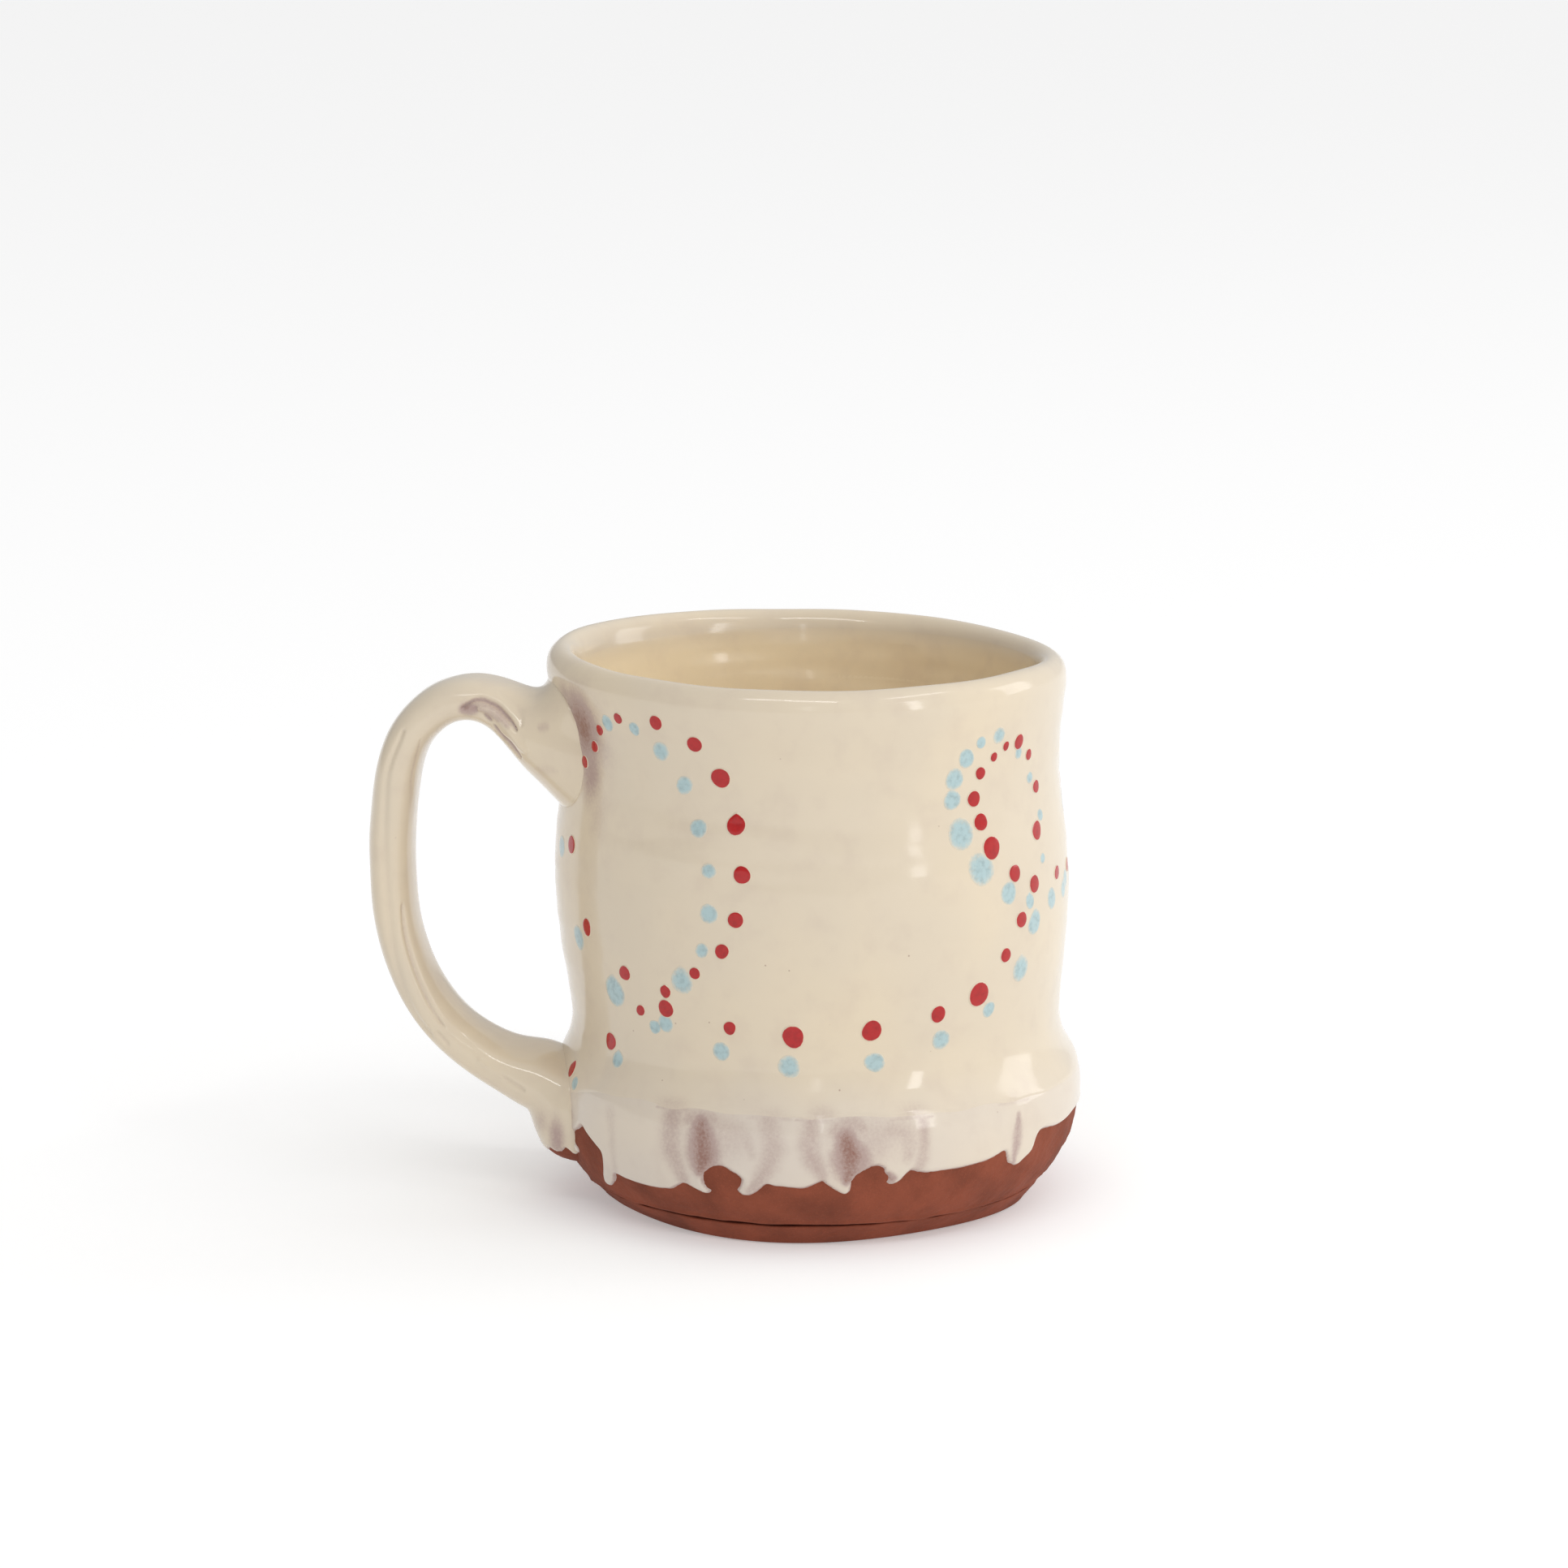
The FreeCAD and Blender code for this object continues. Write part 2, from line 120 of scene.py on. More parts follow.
# Finger marks where the glaze is thin: (angle, height, half width in mm) points, thinness.
THIN_STROKES = [
    ([(-24.5, 21.9, 1.3), (-24.0, 19.7, 1.9), (-23.6, 17.3, 2.2), (-24.2, 15.4, 1.6),
      (-24.8, 13.9, 0.7)], 0.80),
    ([(-31.2, 23.6, 1.8), (-31.6, 20.6, 2.0), (-31.5, 17.5, 1.9), (-30.4, 14.9, 1.6),
      (-29.1, 12.2, 1.2)], 0.36),
    ([(-27.6, 22.6, 1.2), (-24.6, 23.1, 1.4), (-21.9, 23.0, 1.2)], 0.34),
    ([(-19.0, 21.7, 2.2), (-15.8, 21.4, 2.0), (-13.8, 19.6, 1.4), (-12.9, 17.6, 1.0)], 0.24),
    ([(-9.7, 23.2, 1.8), (-8.5, 19.8, 1.9), (-9.2, 16.4, 1.7), (-11.4, 13.3, 1.2),
      (-13.7, 11.1, 0.9)], 0.32),
    ([(-36.0, 23.7, 0.2), (-30.3, 23.9, 0.5), (-24.6, 23.8, 0.2)], 0.28),
    ([(-14.0, 23.8, 0.2), (-9.2, 23.9, 0.5), (-4.4, 23.8, 0.2)], 0.24),
    ([(6.9, 20.7, 1.4), (7.5, 18.7, 1.8), (8.1, 17.0, 2.3), (7.6, 14.9, 1.4),
      (7.2, 13.5, 0.7)], 0.84),
    ([(-0.4, 23.5, 1.2), (-0.6, 20.8, 1.7), (-0.4, 18.1, 1.6), (0.8, 16.1, 1.4),
      (1.8, 14.3, 1.1)], 0.34),
    ([(4.3, 21.9, 1.1), (5.7, 22.7, 1.3), (8.6, 23.0, 1.6), (10.2, 22.3, 1.3)], 0.34),
    ([(16.1, 22.0, 1.6), (19.3, 21.0, 2.0), (20.3, 19.0, 1.9), (20.1, 17.4, 1.4)], 0.28),
    ([(23.6, 22.8, 1.0), (23.6, 19.0, 1.1), (23.2, 16.1, 1.2), (22.4, 15.0, 0.9)], 0.32),
    ([(-3.6, 23.7, 0.2), (0.2, 23.6, 0.6), (4.0, 23.6, 0.2)], 0.26),
    ([(16.6, 23.4, 0.2), (21.2, 23.5, 0.45), (26.0, 23.3, 0.2)], 0.28),
    ([(15.9, 14.0, 0.6), (16.9, 13.4, 0.6)], 0.75),
    ([(48.5, 21.0, 0.5), (48.1, 18.2, 1.0), (48.1, 15.9, 1.0), (47.9, 14.1, 0.7),
      (48.3, 12.6, 0.3)], 0.46),
    ([(42.8, 23.4, 0.2), (47.6, 23.3, 0.5), (52.4, 23.0, 0.2)], 0.2),
    ([(-49.3, 21.0, 1.3), (-48.5, 16.1, 1.0), (-49.1, 11.0, 0.8)], 0.2),
    ([(-71.8, 20.2, 2.0), (-67.7, 16.9, 2.0)], 0.42),
    ([(145.6, 21.6, 1.3), (145.2, 19.6, 1.9), (145.6, 17.4, 2.1), (146.6, 15.6, 1.0)], 0.76),
    ([(141.0, 22.4, 1.6), (140.6, 18.4, 1.7), (142.0, 15.2, 1.2)], 0.34),
    ([(146.5, 22.4, 1.3), (151.5, 22.2, 1.6), (156.0, 20.0, 1.4)], 0.32),
    ([(160.4, 22.0, 1.4), (160.8, 18.0, 1.6), (159.8, 15.4, 1.2)], 0.32),
]
# The wider veil of each grip: (angle, height, half width, half height, thinness).
THIN_VEILS = [(-21.0, 20.2, 9.6, 5.6, 0.27), (11.5, 20.4, 10.2, 5.4, 0.27),
              (48.0, 18.5, 2.8, 4.8, 0.18), (151.0, 19.8, 9.4, 5.4, 0.27)]

# Soft pinkish clouds in the second dip: painted shade on the wall beside the handle's upper joint
# (the six high up near -60 degrees), thin glaze along the dip line and the rim: (angle, height, half
# width, half height, strength).
THIN_AND_SHADE_CLOUDS = [
    (-61.6, 86.0, 5.2, 6.4, 0.96), (-60.2, 79.4, 4.2, 7.0, 0.56), (-56.0, 72.0, 4.0, 7.0, 0.22),
    (-55.6, 83.0, 5.0, 6.0, 0.30), (-54.0, 90.0, 4.0, 3.6, 0.22), (-67.0, 91.0, 4.0, 3.0, 0.4),
    (-32.0, 24.4, 4.0, 1.8, 0.24), (-9.0, 24.6, 4.0, 1.8, 0.2), (2.0, 24.6, 3.0, 1.9, 0.26),
    (22.0, 24.4, 3.4, 1.9, 0.24), (48.0, 24.0, 2.4, 2.0, 0.18), (-80.0, 95.0, 20.0, 2.4, 0.14),
    (-112.0, 84.0, 4.4, 7.5, 0.5), (-25.0, 72.0, 9.0, 12.0, 0.07), (-40.0, 50.0, 8.0, 9.0, 0.08),
]

# ---- handle ----
# Stations from the upper joint round to the lower one: (x, z, thickness, width).
HANDLE = [
    (-34.0, 79.2, 21.0, 29.0), (-40.4, 80.4, 20.0, 26.6), (-43.9, 81.8, 16.4, 24.8),
    (-47.3, 82.7, 12.0, 22.2), (-50.5, 84.5, 8.1, 19.0), (-54.0, 87.3, 7.2, 16.4),
    (-58.4, 88.5, 6.7, 15.2), (-62.9, 87.7, 6.7, 15.0), (-66.5, 85.2, 6.8, 15.0),
    (-69.7, 81.6, 6.9, 15.0), (-71.7, 75.6, 7.0, 15.0), (-72.8, 66.0, 7.0, 15.0),
    (-73.0, 57.0, 6.9, 15.0), (-72.3, 48.6, 6.8, 15.0), (-69.9, 40.0, 6.7, 15.0),
    (-65.2, 31.9, 6.8, 15.4), (-58.7, 26.3, 7.2, 16.2), (-52.9, 23.3, 7.9, 18.4),
    (-47.9, 21.8, 11.2, 20.8), (-44.9, 20.5, 10.8, 22.0), (-42.8, 16.2, 21.8, 24.2),
    (-34.0, 16.6, 19.6, 26.0),
]
HANDLE_OFFSET = -5.0  # the handle meets the wall a little to the front of centre
HANDLE_TURN = 3.4     # degrees that it then leans back
HANDLE_ROOT_X = -44.0 # where that turn is taken
STRAP_CORNER = 4.5    # squarer where the strap is thin, rounder at its ends
STRAP_POLES = 20
STRAP_SKIN = 0.06     # the glaze stays this far inside the CAD handle's own skin

# Marks on the handle's near side: (x, z) points, half width, height, thinness. The pink thinness
# along the grooves is partly painted shade in the creases and partly thin glaze; the ridges get
# none.
HANDLE_MARKS = [
    ([(-69.6, 83.4), (-72.4, 76.4), (-73.1, 68.3), (-73.2, 64.6), (-73.1, 59.7), (-72.7, 53.5),
      (-72.2, 47.3), (-71.4, 42.3), (-69.9, 37.3), (-67.8, 33.0), (-65.4, 30.0)], 0.85, -0.42, 0.10),
    ([(-67.0, 82.0), (-68.7, 76.0), (-69.1, 72.1), (-69.3, 67.4), (-69.6, 62.8), (-69.6, 58.2),
      (-69.1, 53.5)], 0.32, -0.12, 0.24),
    ([(-70.6, 52.8), (-70.3, 49.2), (-69.8, 46.4), (-68.9, 43.0), (-67.7, 39.6), (-66.2, 36.2),
      (-65.0, 34.0), (-63.4, 31.7)], 0.42, -0.42, 0.22),
    ([(-64.4, 30.7), (-63.4, 29.5), (-62.4, 28.4)], 0.4, -0.3, 0.14),
    ([(-57.2, 26.0), (-56.0, 25.2), (-54.5, 24.3), (-52.7, 23.2)], 0.7, 0.28, 0.0),
    ([(-52.8, 23.4), (-51.2, 22.3), (-49.0, 21.2)], 0.4, -0.34, 0.16),
    ([(-59.4, 87.4), (-58.8, 88.0), (-57.6, 88.8), (-56.2, 89.0), (-54.8, 88.6), (-53.2, 87.8),
      (-51.9, 86.6), (-50.9, 85.6), (-49.8, 84.2)], 0.44, -0.66, 0.50),
    ([(-58.6, 87.9), (-56.4, 88.2), (-54.4, 87.7), (-52.4, 86.2), (-51.0, 84.6)], 1.1, 0.0, 0.34),
    ([(-56.8, 87.7), (-54.8, 87.3), (-52.9, 86.1), (-50.9, 84.0), (-49.0, 81.7), (-48.0, 80.8)],
     0.7, 0.55, 0.0),
    ([(-55.6, 86.7), (-54.3, 85.6)], 0.4, -0.35, 0.5),
    ([(-53.9, 84.9), (-52.7, 83.2), (-51.2, 82.0), (-50.2, 80.8), (-49.2, 79.4)], 0.42, -0.45, 0.5),
    ([(-53.4, 90.1), (-51.2, 88.9), (-49.6, 87.2), (-48.9, 85.0)], 0.7, -0.25, 0.14),
    ([(-59.6, 87.4), (-58.2, 87.5), (-57.0, 87.5)], 1.2, -0.12, 0.58),
    ([(-56.4, 87.6), (-54.4, 86.8), (-52.4, 85.6)], 0.9, 0.0, 0.34),
    ([(-46.0, 84.6), (-44.2, 84.9)], 0.9, -0.08, 0.24),
    ([(-46.6, 77.9), (-42.5, 77.7)], 1.3, 0.0, 0.16),
]
# Thin glaze low on the handle: (x, z, half width, half height, thinness).
HANDLE_CLOUDS = [(-43.3, 13.0, 1.5, 4.2, 0.52), (-46.2, 15.8, 1.8, 3.0, 0.26),
                 (-42.6, 24.0, 3.0, 4.0, 0.1)]
HANDLE_EDGE = [(-60, 10.8), (-46.6, 10.0), (-45.2, 10.2), (-44.6, 10.8), (-43.6, 10.4),
               (-42.6, 10.6), (-41.8, 11.2), (-40.2, 10.6), (-38, 12.0)]

# The handle swells to meet the wall: (at the upper joint, way it faces, extra, reach).
HANDLE_FLARES = [(True, (0.0, 0.0, 1.0), 3.2, 2.6), (True, (0.0, 0.0, -1.0), 1.1, 2.2),
                 (False, (0.0, -1.0, 0.0), 0.9, 2.4), (False, (0.0, 1.0, 0.0), 0.9, 2.4)]
HANDLE_MIDDLE = 45.0  # the upper joint is above this height

# ---- colours, as seen on a screen ----
CREAM = (217, 203, 181)
WARM_CREAM = (240, 220, 183)
WHITE_CREAM = (214, 203, 190)
# Pink and iron brown of thin glaze, also used as painted shade beside the handle's upper joint and
# along the handle's creases.
THIN_AND_SHADE_PINK = (178, 155, 147)
THIN_AND_SHADE_IRON = (140, 98, 84)
CLAY = (142, 74, 52)
SLIP_CLAY = (84, 42, 32)
RED = (176, 20, 22)
BLUE = (172, 195, 197)
FLOOR = (231, 231, 231)
FLOOR_GRAIN = (229, 229, 229)
FLOOR_GLOW = 0.30

# Soft boxes: (name, azimuth, elevation, width, height, radiance), angles seen from the mug.
LIGHTS = [
    ("right_window", 47.0, 16.0, 6.0, 28.0, 4.7),
    ("far_right_window", 105.0, 16.0, 20.0, 28.0, 2.1),
    ("front_slit", 1.0, 18.0, 2.5, 20.0, 2.6),
    ("ceiling_front", -8.0, 52.0, 34.0, 4.0, 9.0),
    ("ceiling_right", 62.0, 50.0, 26.0, 4.0, 6.0),
]
LIGHT_DISTANCE = 2.0  # metres from the mug


# ---- small helpers ----
def linear(rgb):
    """Screen colour as the linear colour a shader takes."""
    share = [c / 255.0 for c in rgb]
    return [c / 12.92 if c < 0.04045 else ((c + 0.055) / 1.055) ** 2.4 for c in share] + [1.0]


def scaled(rgb, factor):
    """Screen colour made lighter or darker, as a linear colour."""
    return [min(1.0, c * factor) for c in linear(rgb)[:3]] + [1.0]


def smooth(x):
    """0 below 0, 1 above 1, and an even turn between."""
    x = np.clip(x, 0.0, 1.0)
    return x * x * (3.0 - 2.0 * x)


def ripples(points, wavelength, seed, waves=28):
    """Smooth seeded unevenness with a spread of about 1, over an array of points."""
    rng = np.random.default_rng(seed)
    ways = rng.normal(size=(waves, 3))
    ways /= np.linalg.norm(ways, axis=1)[:, None]
    phases = rng.uniform(0.0, 2.0 * math.pi, waves)
    turn = points @ ways.T * (2.0 * math.pi / wavelength) + phases
    return np.cos(turn).sum(-1) / math.sqrt(waves / 2.0)


def to_segment(x, y, start, end):
    """Each point's share of the way along a straight piece, and its distance from it."""
    x, y = x - start[0], y - start[1]
    dx, dy = end[0] - start[0], end[1] - start[1]
    share = np.clip((x * dx + y * dy) / (dx * dx + dy * dy), 0.0, 1.0)
    return share, np.hypot(x - share * dx, y - share * dy)


def to_line(x, y, line):
    """Distance of each point to a line of straight pieces."""
    nearest = np.full(np.shape(x), 1e9)
    for start, end in zip(line, line[1:]):
        nearest = np.minimum(nearest, to_segment(x, y, start, end)[1])
    return nearest


def brushed(x, y, line):
    """Strength of a brushed line of (x, y, half width) points: one on it, fading aside."""
    field = np.zeros(np.shape(x))
    for start, end in zip(line, line[1:]):
        share, away = to_segment(x, y, start, end)
        width = start[2] + (end[2] - start[2]) * share
        field = np.maximum(field, np.exp(-(away / width) ** 2))
    return field


def tapered(line, width):
    """The line with a half width at each point, finer towards both ends."""
    line = eased(line, 4)
    share = np.linspace(0.0, math.pi, len(line))
    widths = width * (0.3 + 0.7 * np.sqrt(np.clip(np.sin(share), 0.0, 1.0)))
    return [(x, z, w) for (x, z), w in zip(line, widths)]


def inside_of(x, y, loop):
    """True for each point inside a closed outline."""
    inside = np.zeros(np.shape(x), bool)
    for (x0, y0), (x1, y1) in zip(loop, loop[1:] + loop[:1]):
        if y0 != y1:
            crosses = (y < y0) != (y < y1)
            inside ^= crosses & (x < x0 + (y - y0) * (x1 - x0) / (y1 - y0))
    return inside


def eased(line, cuts=4):
    """The same line with its corners eased by a curve through every point."""
    points = np.array(line, float)
    ends = np.vstack([points[:1], points, points[-1:]])
    made = []
    for i in range(len(points) - 1):
        a, b, c, d = ends[i:i + 4]
        for t in np.arange(cuts) / cuts:
            made.append(0.5 * (2 * b + (c - a) * t + (2 * a - 5 * b + 4 * c - d) * t * t
                               + (3 * b - a - 3 * c + d) * t ** 3))
    return [tuple(p) for p in made] + [tuple(points[-1])]


def outward(turns):
    """Unit directions round the mug at angles in degrees."""
    turns = np.radians(turns)
    return np.stack([np.sin(turns), -np.cos(turns), np.zeros_like(turns)], -1)


def normals_of(grid):
    """Outward normals of a grid of points whose columns go round."""
    along = np.gradient(grid, axis=0)
    around = np.roll(grid, -1, 1) - np.roll(grid, 1, 1)
    normal = np.cross(around, along)
    return normal / np.maximum(np.linalg.norm(normal, axis=-1, keepdims=True), 1e-9)


def spline_weights(t):
    """Weights of the four control points of a cubic spline."""
    return [(1 - t) ** 3 / 6, (3 * t ** 3 - 6 * t ** 2 + 4) / 6,
            (-3 * t ** 3 + 3 * t ** 2 + 3 * t + 1) / 6, t ** 3 / 6]


# ---- the CAD wall as a surface that can be asked anywhere ----
def tree_of(node):
    """Search tree of a CAD node, in millimetres."""
    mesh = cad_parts[node].data
    return BVHTree.FromPolygons([v.co / MM for v in mesh.vertices],
                                [tuple(p.vertices) for p in mesh.polygons])


def hit(tree, start, way):
    """Where a ray meets the tree."""
    return np.array(tree.ray_cast(Vector(start), Vector(way))[0])


class Wall:
    """The clay wall: section rows run up the outside, over the lip and down the inside."""

    def __init__(self):
        tree = tree_of("wall")
        self.heights = np.arange(WALL_FOOT, LIP_START + 0.01, PROBE_STEP)
        turns = np.arange(0.0, 360.0, PROBE_TURN)
        columns = [self.column(tree, way) for way in outward(turns)]
        section = np.array(columns).transpose(1, 0, 2)
        waves = np.fft.rfft(section, axis=1)[:, :WALL_HARMONICS + 1] / len(turns)
        waves[:, 1:] *= 2.0
        self.waves = waves
        self.inside_first = len(section) - len(self.heights)
        self.last = len(section) - 1

    def column(self, tree, way):
        """(distance from the axis, height) of the wall's section in one direction."""
        up = np.array((0.0, 0.0, 1.0))
        outside = [hit(tree, way * FAR + up * z, -way) for z in self.heights]
        inside = [hit(tree, up * z, way) for z in self.heights[::-1] + INSIDE_LIFT]
        centre = (outside[-1] + inside[0]) / 2.0
        lips = [hit(tree, centre, way * math.cos(t) + up * math.sin(t))
                for t in np.radians(np.arange(LIP_TURN, 179.0, LIP_TURN))]
        return [(p @ way, p[2]) for p in outside + lips + inside]

    def row_at(self, height):
        """Section row of an outside height."""
        return (np.asarray(height, float) - WALL_FOOT) / PROBE_STEP

    def inside_row_at(self, height):
        """Section row of an inside height."""
        down = self.heights[-1] + INSIDE_LIFT - np.asarray(height, float)
        return self.inside_first + down / PROBE_STEP

    def grid(self, rows, turns):
        """Points and normals for a list of rows, or a whole grid of them, at some angles."""
        rows = np.asarray(rows, float)
        if rows.ndim == 1:
            rows = np.repeat(rows[:, None], len(turns), 1)
        steps = np.arange(self.waves.shape[1])
        wave = np.exp(1j * np.radians(turns)[:, None] * steps)
        rings = np.einsum("rhk,ah->rak", self.waves, wave).real
        first = np.floor(rows).astype(int)
        across = np.arange(len(turns))[None, :]
        section = 0.0
        for k, weight in enumerate(spline_weights(rows - first)):
            picked = rings[np.clip(first - 1 + k, 0, self.last), across]
            section = section + weight[..., None] * picked
        points = outward(turns)[None] * section[..., :1]
        points[..., 2] += section[..., 1]
        return points, normals_of(points)


# ---- meshes ----
def join_grid(rings, count, closed_section=False):
    """Quads between rings of vertices, each ring closed."""
    ring = np.arange(count)
    after = np.roll(ring, -1)
    pairs = [(i, i + 1) for i in range(rings - 1)]
    if closed_section:
        pairs.append((rings - 1, 0))
    faces = [np.stack([ring + a * count, after + a * count, after + b * count, ring + b * count], 1)
             for a, b in pairs]
    return np.concatenate(faces)


def faces_out(points, faces):
    """The faces, turned over if they enclose a negative volume."""
    volume = 0.0
    for corners in (4, 3):
        some = np.array([f for f in faces if len(f) == corners], int).reshape(-1, corners)
        for k in range(1, corners - 1):
            a, b, c = points[some[:, 0]], points[some[:, k]], points[some[:, k + 1]]
            volume += (a * np.cross(b, c)).sum()
    return faces if volume > 0.0 else [f[::-1] for f in faces]


def piece(name, points, faces, material, slot, nodes=(), **values):
    """A finished piece of the mug from points in millimetres."""
    mesh = bpy.data.meshes.new(name)
    points = np.asarray(points)
    faces = faces_out(points, [tuple(map(int, f)) for f in faces])
    mesh.from_pydata((points * MM).tolist(), [], faces)
    mesh.update()
    mesh.shade_smooth()
    for key, value in values.items():
        layer = mesh.attributes.new(key, "FLOAT", "POINT")
        layer.data.foreach_set("value", np.asarray(value, np.float32).ravel())
    mesh.materials.append(material)
    made = bpy.data.objects.new(name, mesh)
    bpy.context.scene.collection.objects.link(made)
    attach(made, "root")
    if nodes:
        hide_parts(*nodes)
    return made


def shell(name, outer, inner, material, slot, nodes, **values):
    """A ring-shaped coat closed by a coarser inner layer; values belong to its outer rings."""
    rings = np.concatenate([outer, inner[::-1]])
    count = outer.shape[1]
    faces = join_grid(len(rings), count, closed_section=True)
    full = {}
    for key, value in values.items():
        value = np.broadcast_to(value, outer.shape[:2])
        full[key] = np.concatenate([value, np.repeat(value[-1:], len(inner), 0)])
    return piece(name, rings.reshape(-1, 3), faces, material, slot, nodes, **full)


def capped(name, rings, material, slot, nodes=(), **values):
    """A closed body from rings that end in two poles."""
    count = rings.shape[1]
    faces = [tuple(f) for f in join_grid(len(rings), count)]
    points = list(rings.reshape(-1, 3)) + [rings[0].mean(0), rings[-1].mean(0)]
    low, high = len(points) - 2, len(points) - 1
    top = (len(rings) - 1) * count
    for i in range(count):
        after = (i + 1) % count
        faces.append((low, after, i))
        faces.append((high, top + i, top + after))
    full = {}
    for key, value in values.items():
        value = np.broadcast_to(value, rings.shape[:2])
        full[key] = np.concatenate([value.ravel(), [value[0].mean(), value[-1].mean()]])
    return piece(name, points, faces, material, slot, nodes, **full)


# ---- materials ----
class Nodes:
    """Short names for building a node tree."""

    def __init__(self, tree):
        self.tree = tree

    def add(self, kind, inputs=None, **settings):
        node = self.tree.nodes.new(kind)
        for key, value in settings.items():
            setattr(node, key, value)
        for key, value in (inputs or {}).items():
            if isinstance(value, bpy.types.NodeSocket):
                self.tree.links.new(value, node.inputs[key])
            else:
                node.inputs[key].default_value = value
        return node

    def math(self, kind, a, b):
        return self.add("ShaderNodeMath", {0: a, 1: b}, operation=kind).outputs[0]

    def swing(self, noise, amount):
        """Noise turned into a swing either side of nothing."""
        return self.math("MULTIPLY", self.math("SUBTRACT", noise, 0.5), amount)

    def noise(self, where, size, detail=2.0, rough=0.5):
        """Noise from 0 to 1 with features of a size in millimetres."""
        return self.add("ShaderNodeTexNoise", {"Vector": where, "Scale": 1.0 / (size * MM),
                                               "Detail": detail, "Roughness": rough}).outputs["Fac"]

    def span(self, value, low, high, to_low=0.0, to_high=1.0):
        """Smooth step of a value between two levels."""
        return self.add("ShaderNodeMapRange", {"Value": value, "From Min": low, "From Max": high,
                                               "To Min": to_low, "To Max": to_high},
                        interpolation_type="SMOOTHSTEP").outputs[0]

    def mix(self, share, a, b):
        return self.add("ShaderNodeMix", {0: share, 6: a, 7: b}, data_type="RGBA").outputs[2]

    def value_of(self, name):
        """A value stored on the mesh."""
        return self.add("ShaderNodeAttribute", attribute_name=name).outputs["Fac"]

    def bump(self, height, strength, distance, normal=None):
        inputs = {"Height": height, "Strength": strength, "Distance": distance * MM}
        if normal is not None:
            inputs["Normal"] = normal
        return self.add("ShaderNodeBump", inputs).outputs[0]


def new_material(name):
    """Empty material with its node helper, its place socket and its shader."""
    material = bpy.data.materials.new(name)
    material.use_nodes = True
    material.node_tree.nodes.clear()
    n = Nodes(material.node_tree)
    place = n.add("ShaderNodeTexCoord").outputs["Object"]
    shader = n.add("ShaderNodeBsdfPrincipled")
    n.add("ShaderNodeOutputMaterial", {"Surface": shader.outputs[0]})
    return material, n, place, shader


def link(n, shader, **sockets):
    """Links sockets into a shader by input name, with underscores for spaces."""
    for key, socket in sockets.items():
        n.tree.links.new(socket, shader.inputs[key.replace("_", " ")])


def glaze_colour(n, place):
    """Cream glaze: warm or white by coat, pink then iron brown where it runs thin, and where shade
    is painted beside the handle's upper joint and in the handle's creases.
    """
    warm = n.value_of("warm")
    thin = n.value_of("thin")
    cloud = n.noise(place, 26.0, 2.0)
    mottle = n.noise(place, 5.0, 3.0)
    grit = n.noise(place, 0.55, 2.0, 0.7)
    base = n.mix(n.span(warm, 0.0, 1.0), linear(WHITE_CREAM), linear(CREAM))
    base = n.mix(n.span(warm, 1.0, 2.0), base, linear(WARM_CREAM))
    base = n.mix(n.span(cloud, 0.35, 0.75, 0.0, 0.22), base, linear(WARM_CREAM))
    base = n.mix(n.span(mottle, 0.45, 0.8, 0.0, 0.12), base, linear(THIN_AND_SHADE_PINK))
    uneven = n.swing(grit, n.math("MULTIPLY", thin, 0.8))
    patchy = n.swing(mottle, n.math("MULTIPLY", thin, 0.6))
    level = n.math("ADD", n.math("ADD", thin, uneven), patchy)
    colour = n.mix(n.span(level, 0.04, 0.55), base, linear(THIN_AND_SHADE_PINK))
    colour = n.mix(n.span(level, 0.5, 1.05), colour, linear(THIN_AND_SHADE_IRON))
    specks = n.add("ShaderNodeTexVoronoi", {"Vector": place, "Scale": 1.0 / (4.2 * MM)})
    spot = n.span(specks.outputs["Distance"], 0.055, 0.025)
    chance = n.span(n.noise(place, 9.0, 1.0), 0.52, 0.6, 0.0, 0.5)
    return n.mix(n.math("MULTIPLY", spot, chance), colour, linear(THIN_AND_SHADE_IRON)), thin, grit


def glaze_skin(n, place, shader, thin):
    """Gloss, orange peel and pinholes of the glaze."""
    peel = n.noise(place, 2.4, 2.0)
    pits = n.add("ShaderNodeTexVoronoi", {"Vector": place, "Scale": 1.0 / (3.1 * MM)})
    pit = n.span(pits.outputs["Distance"], 0.0, 0.045)
    height = n.math("ADD", n.math("MULTIPLY", peel, 0.6), n.math("MULTIPLY", pit, 0.12))
    fine = n.noise(place, 0.5, 2.0)
    rough_height = n.math("MULTIPLY", fine, n.span(thin, 0.2, 0.9))
    normal = n.bump(height, 0.35, 0.05)
    normal = n.bump(rough_height, 0.4, 0.06, normal)
    gloss = n.math("ADD", n.span(n.noise(place, 7.0), 0.3, 0.8, 0.09, 0.18),
                   n.span(thin, 0.2, 1.0, 0.0, 0.22))
    shader.inputs["IOR"].default_value = 1.5
    link(n, shader, Roughness=gloss, Normal=normal)


def glaze_material():
    """Satin gloss cream glaze."""
    material, n, place, shader = new_material("cream_glaze")
    colour, thin, _ = glaze_colour(n, place)
    link(n, shader, Base_Color=colour)
    glaze_skin(n, place, shader, thin)
    return material


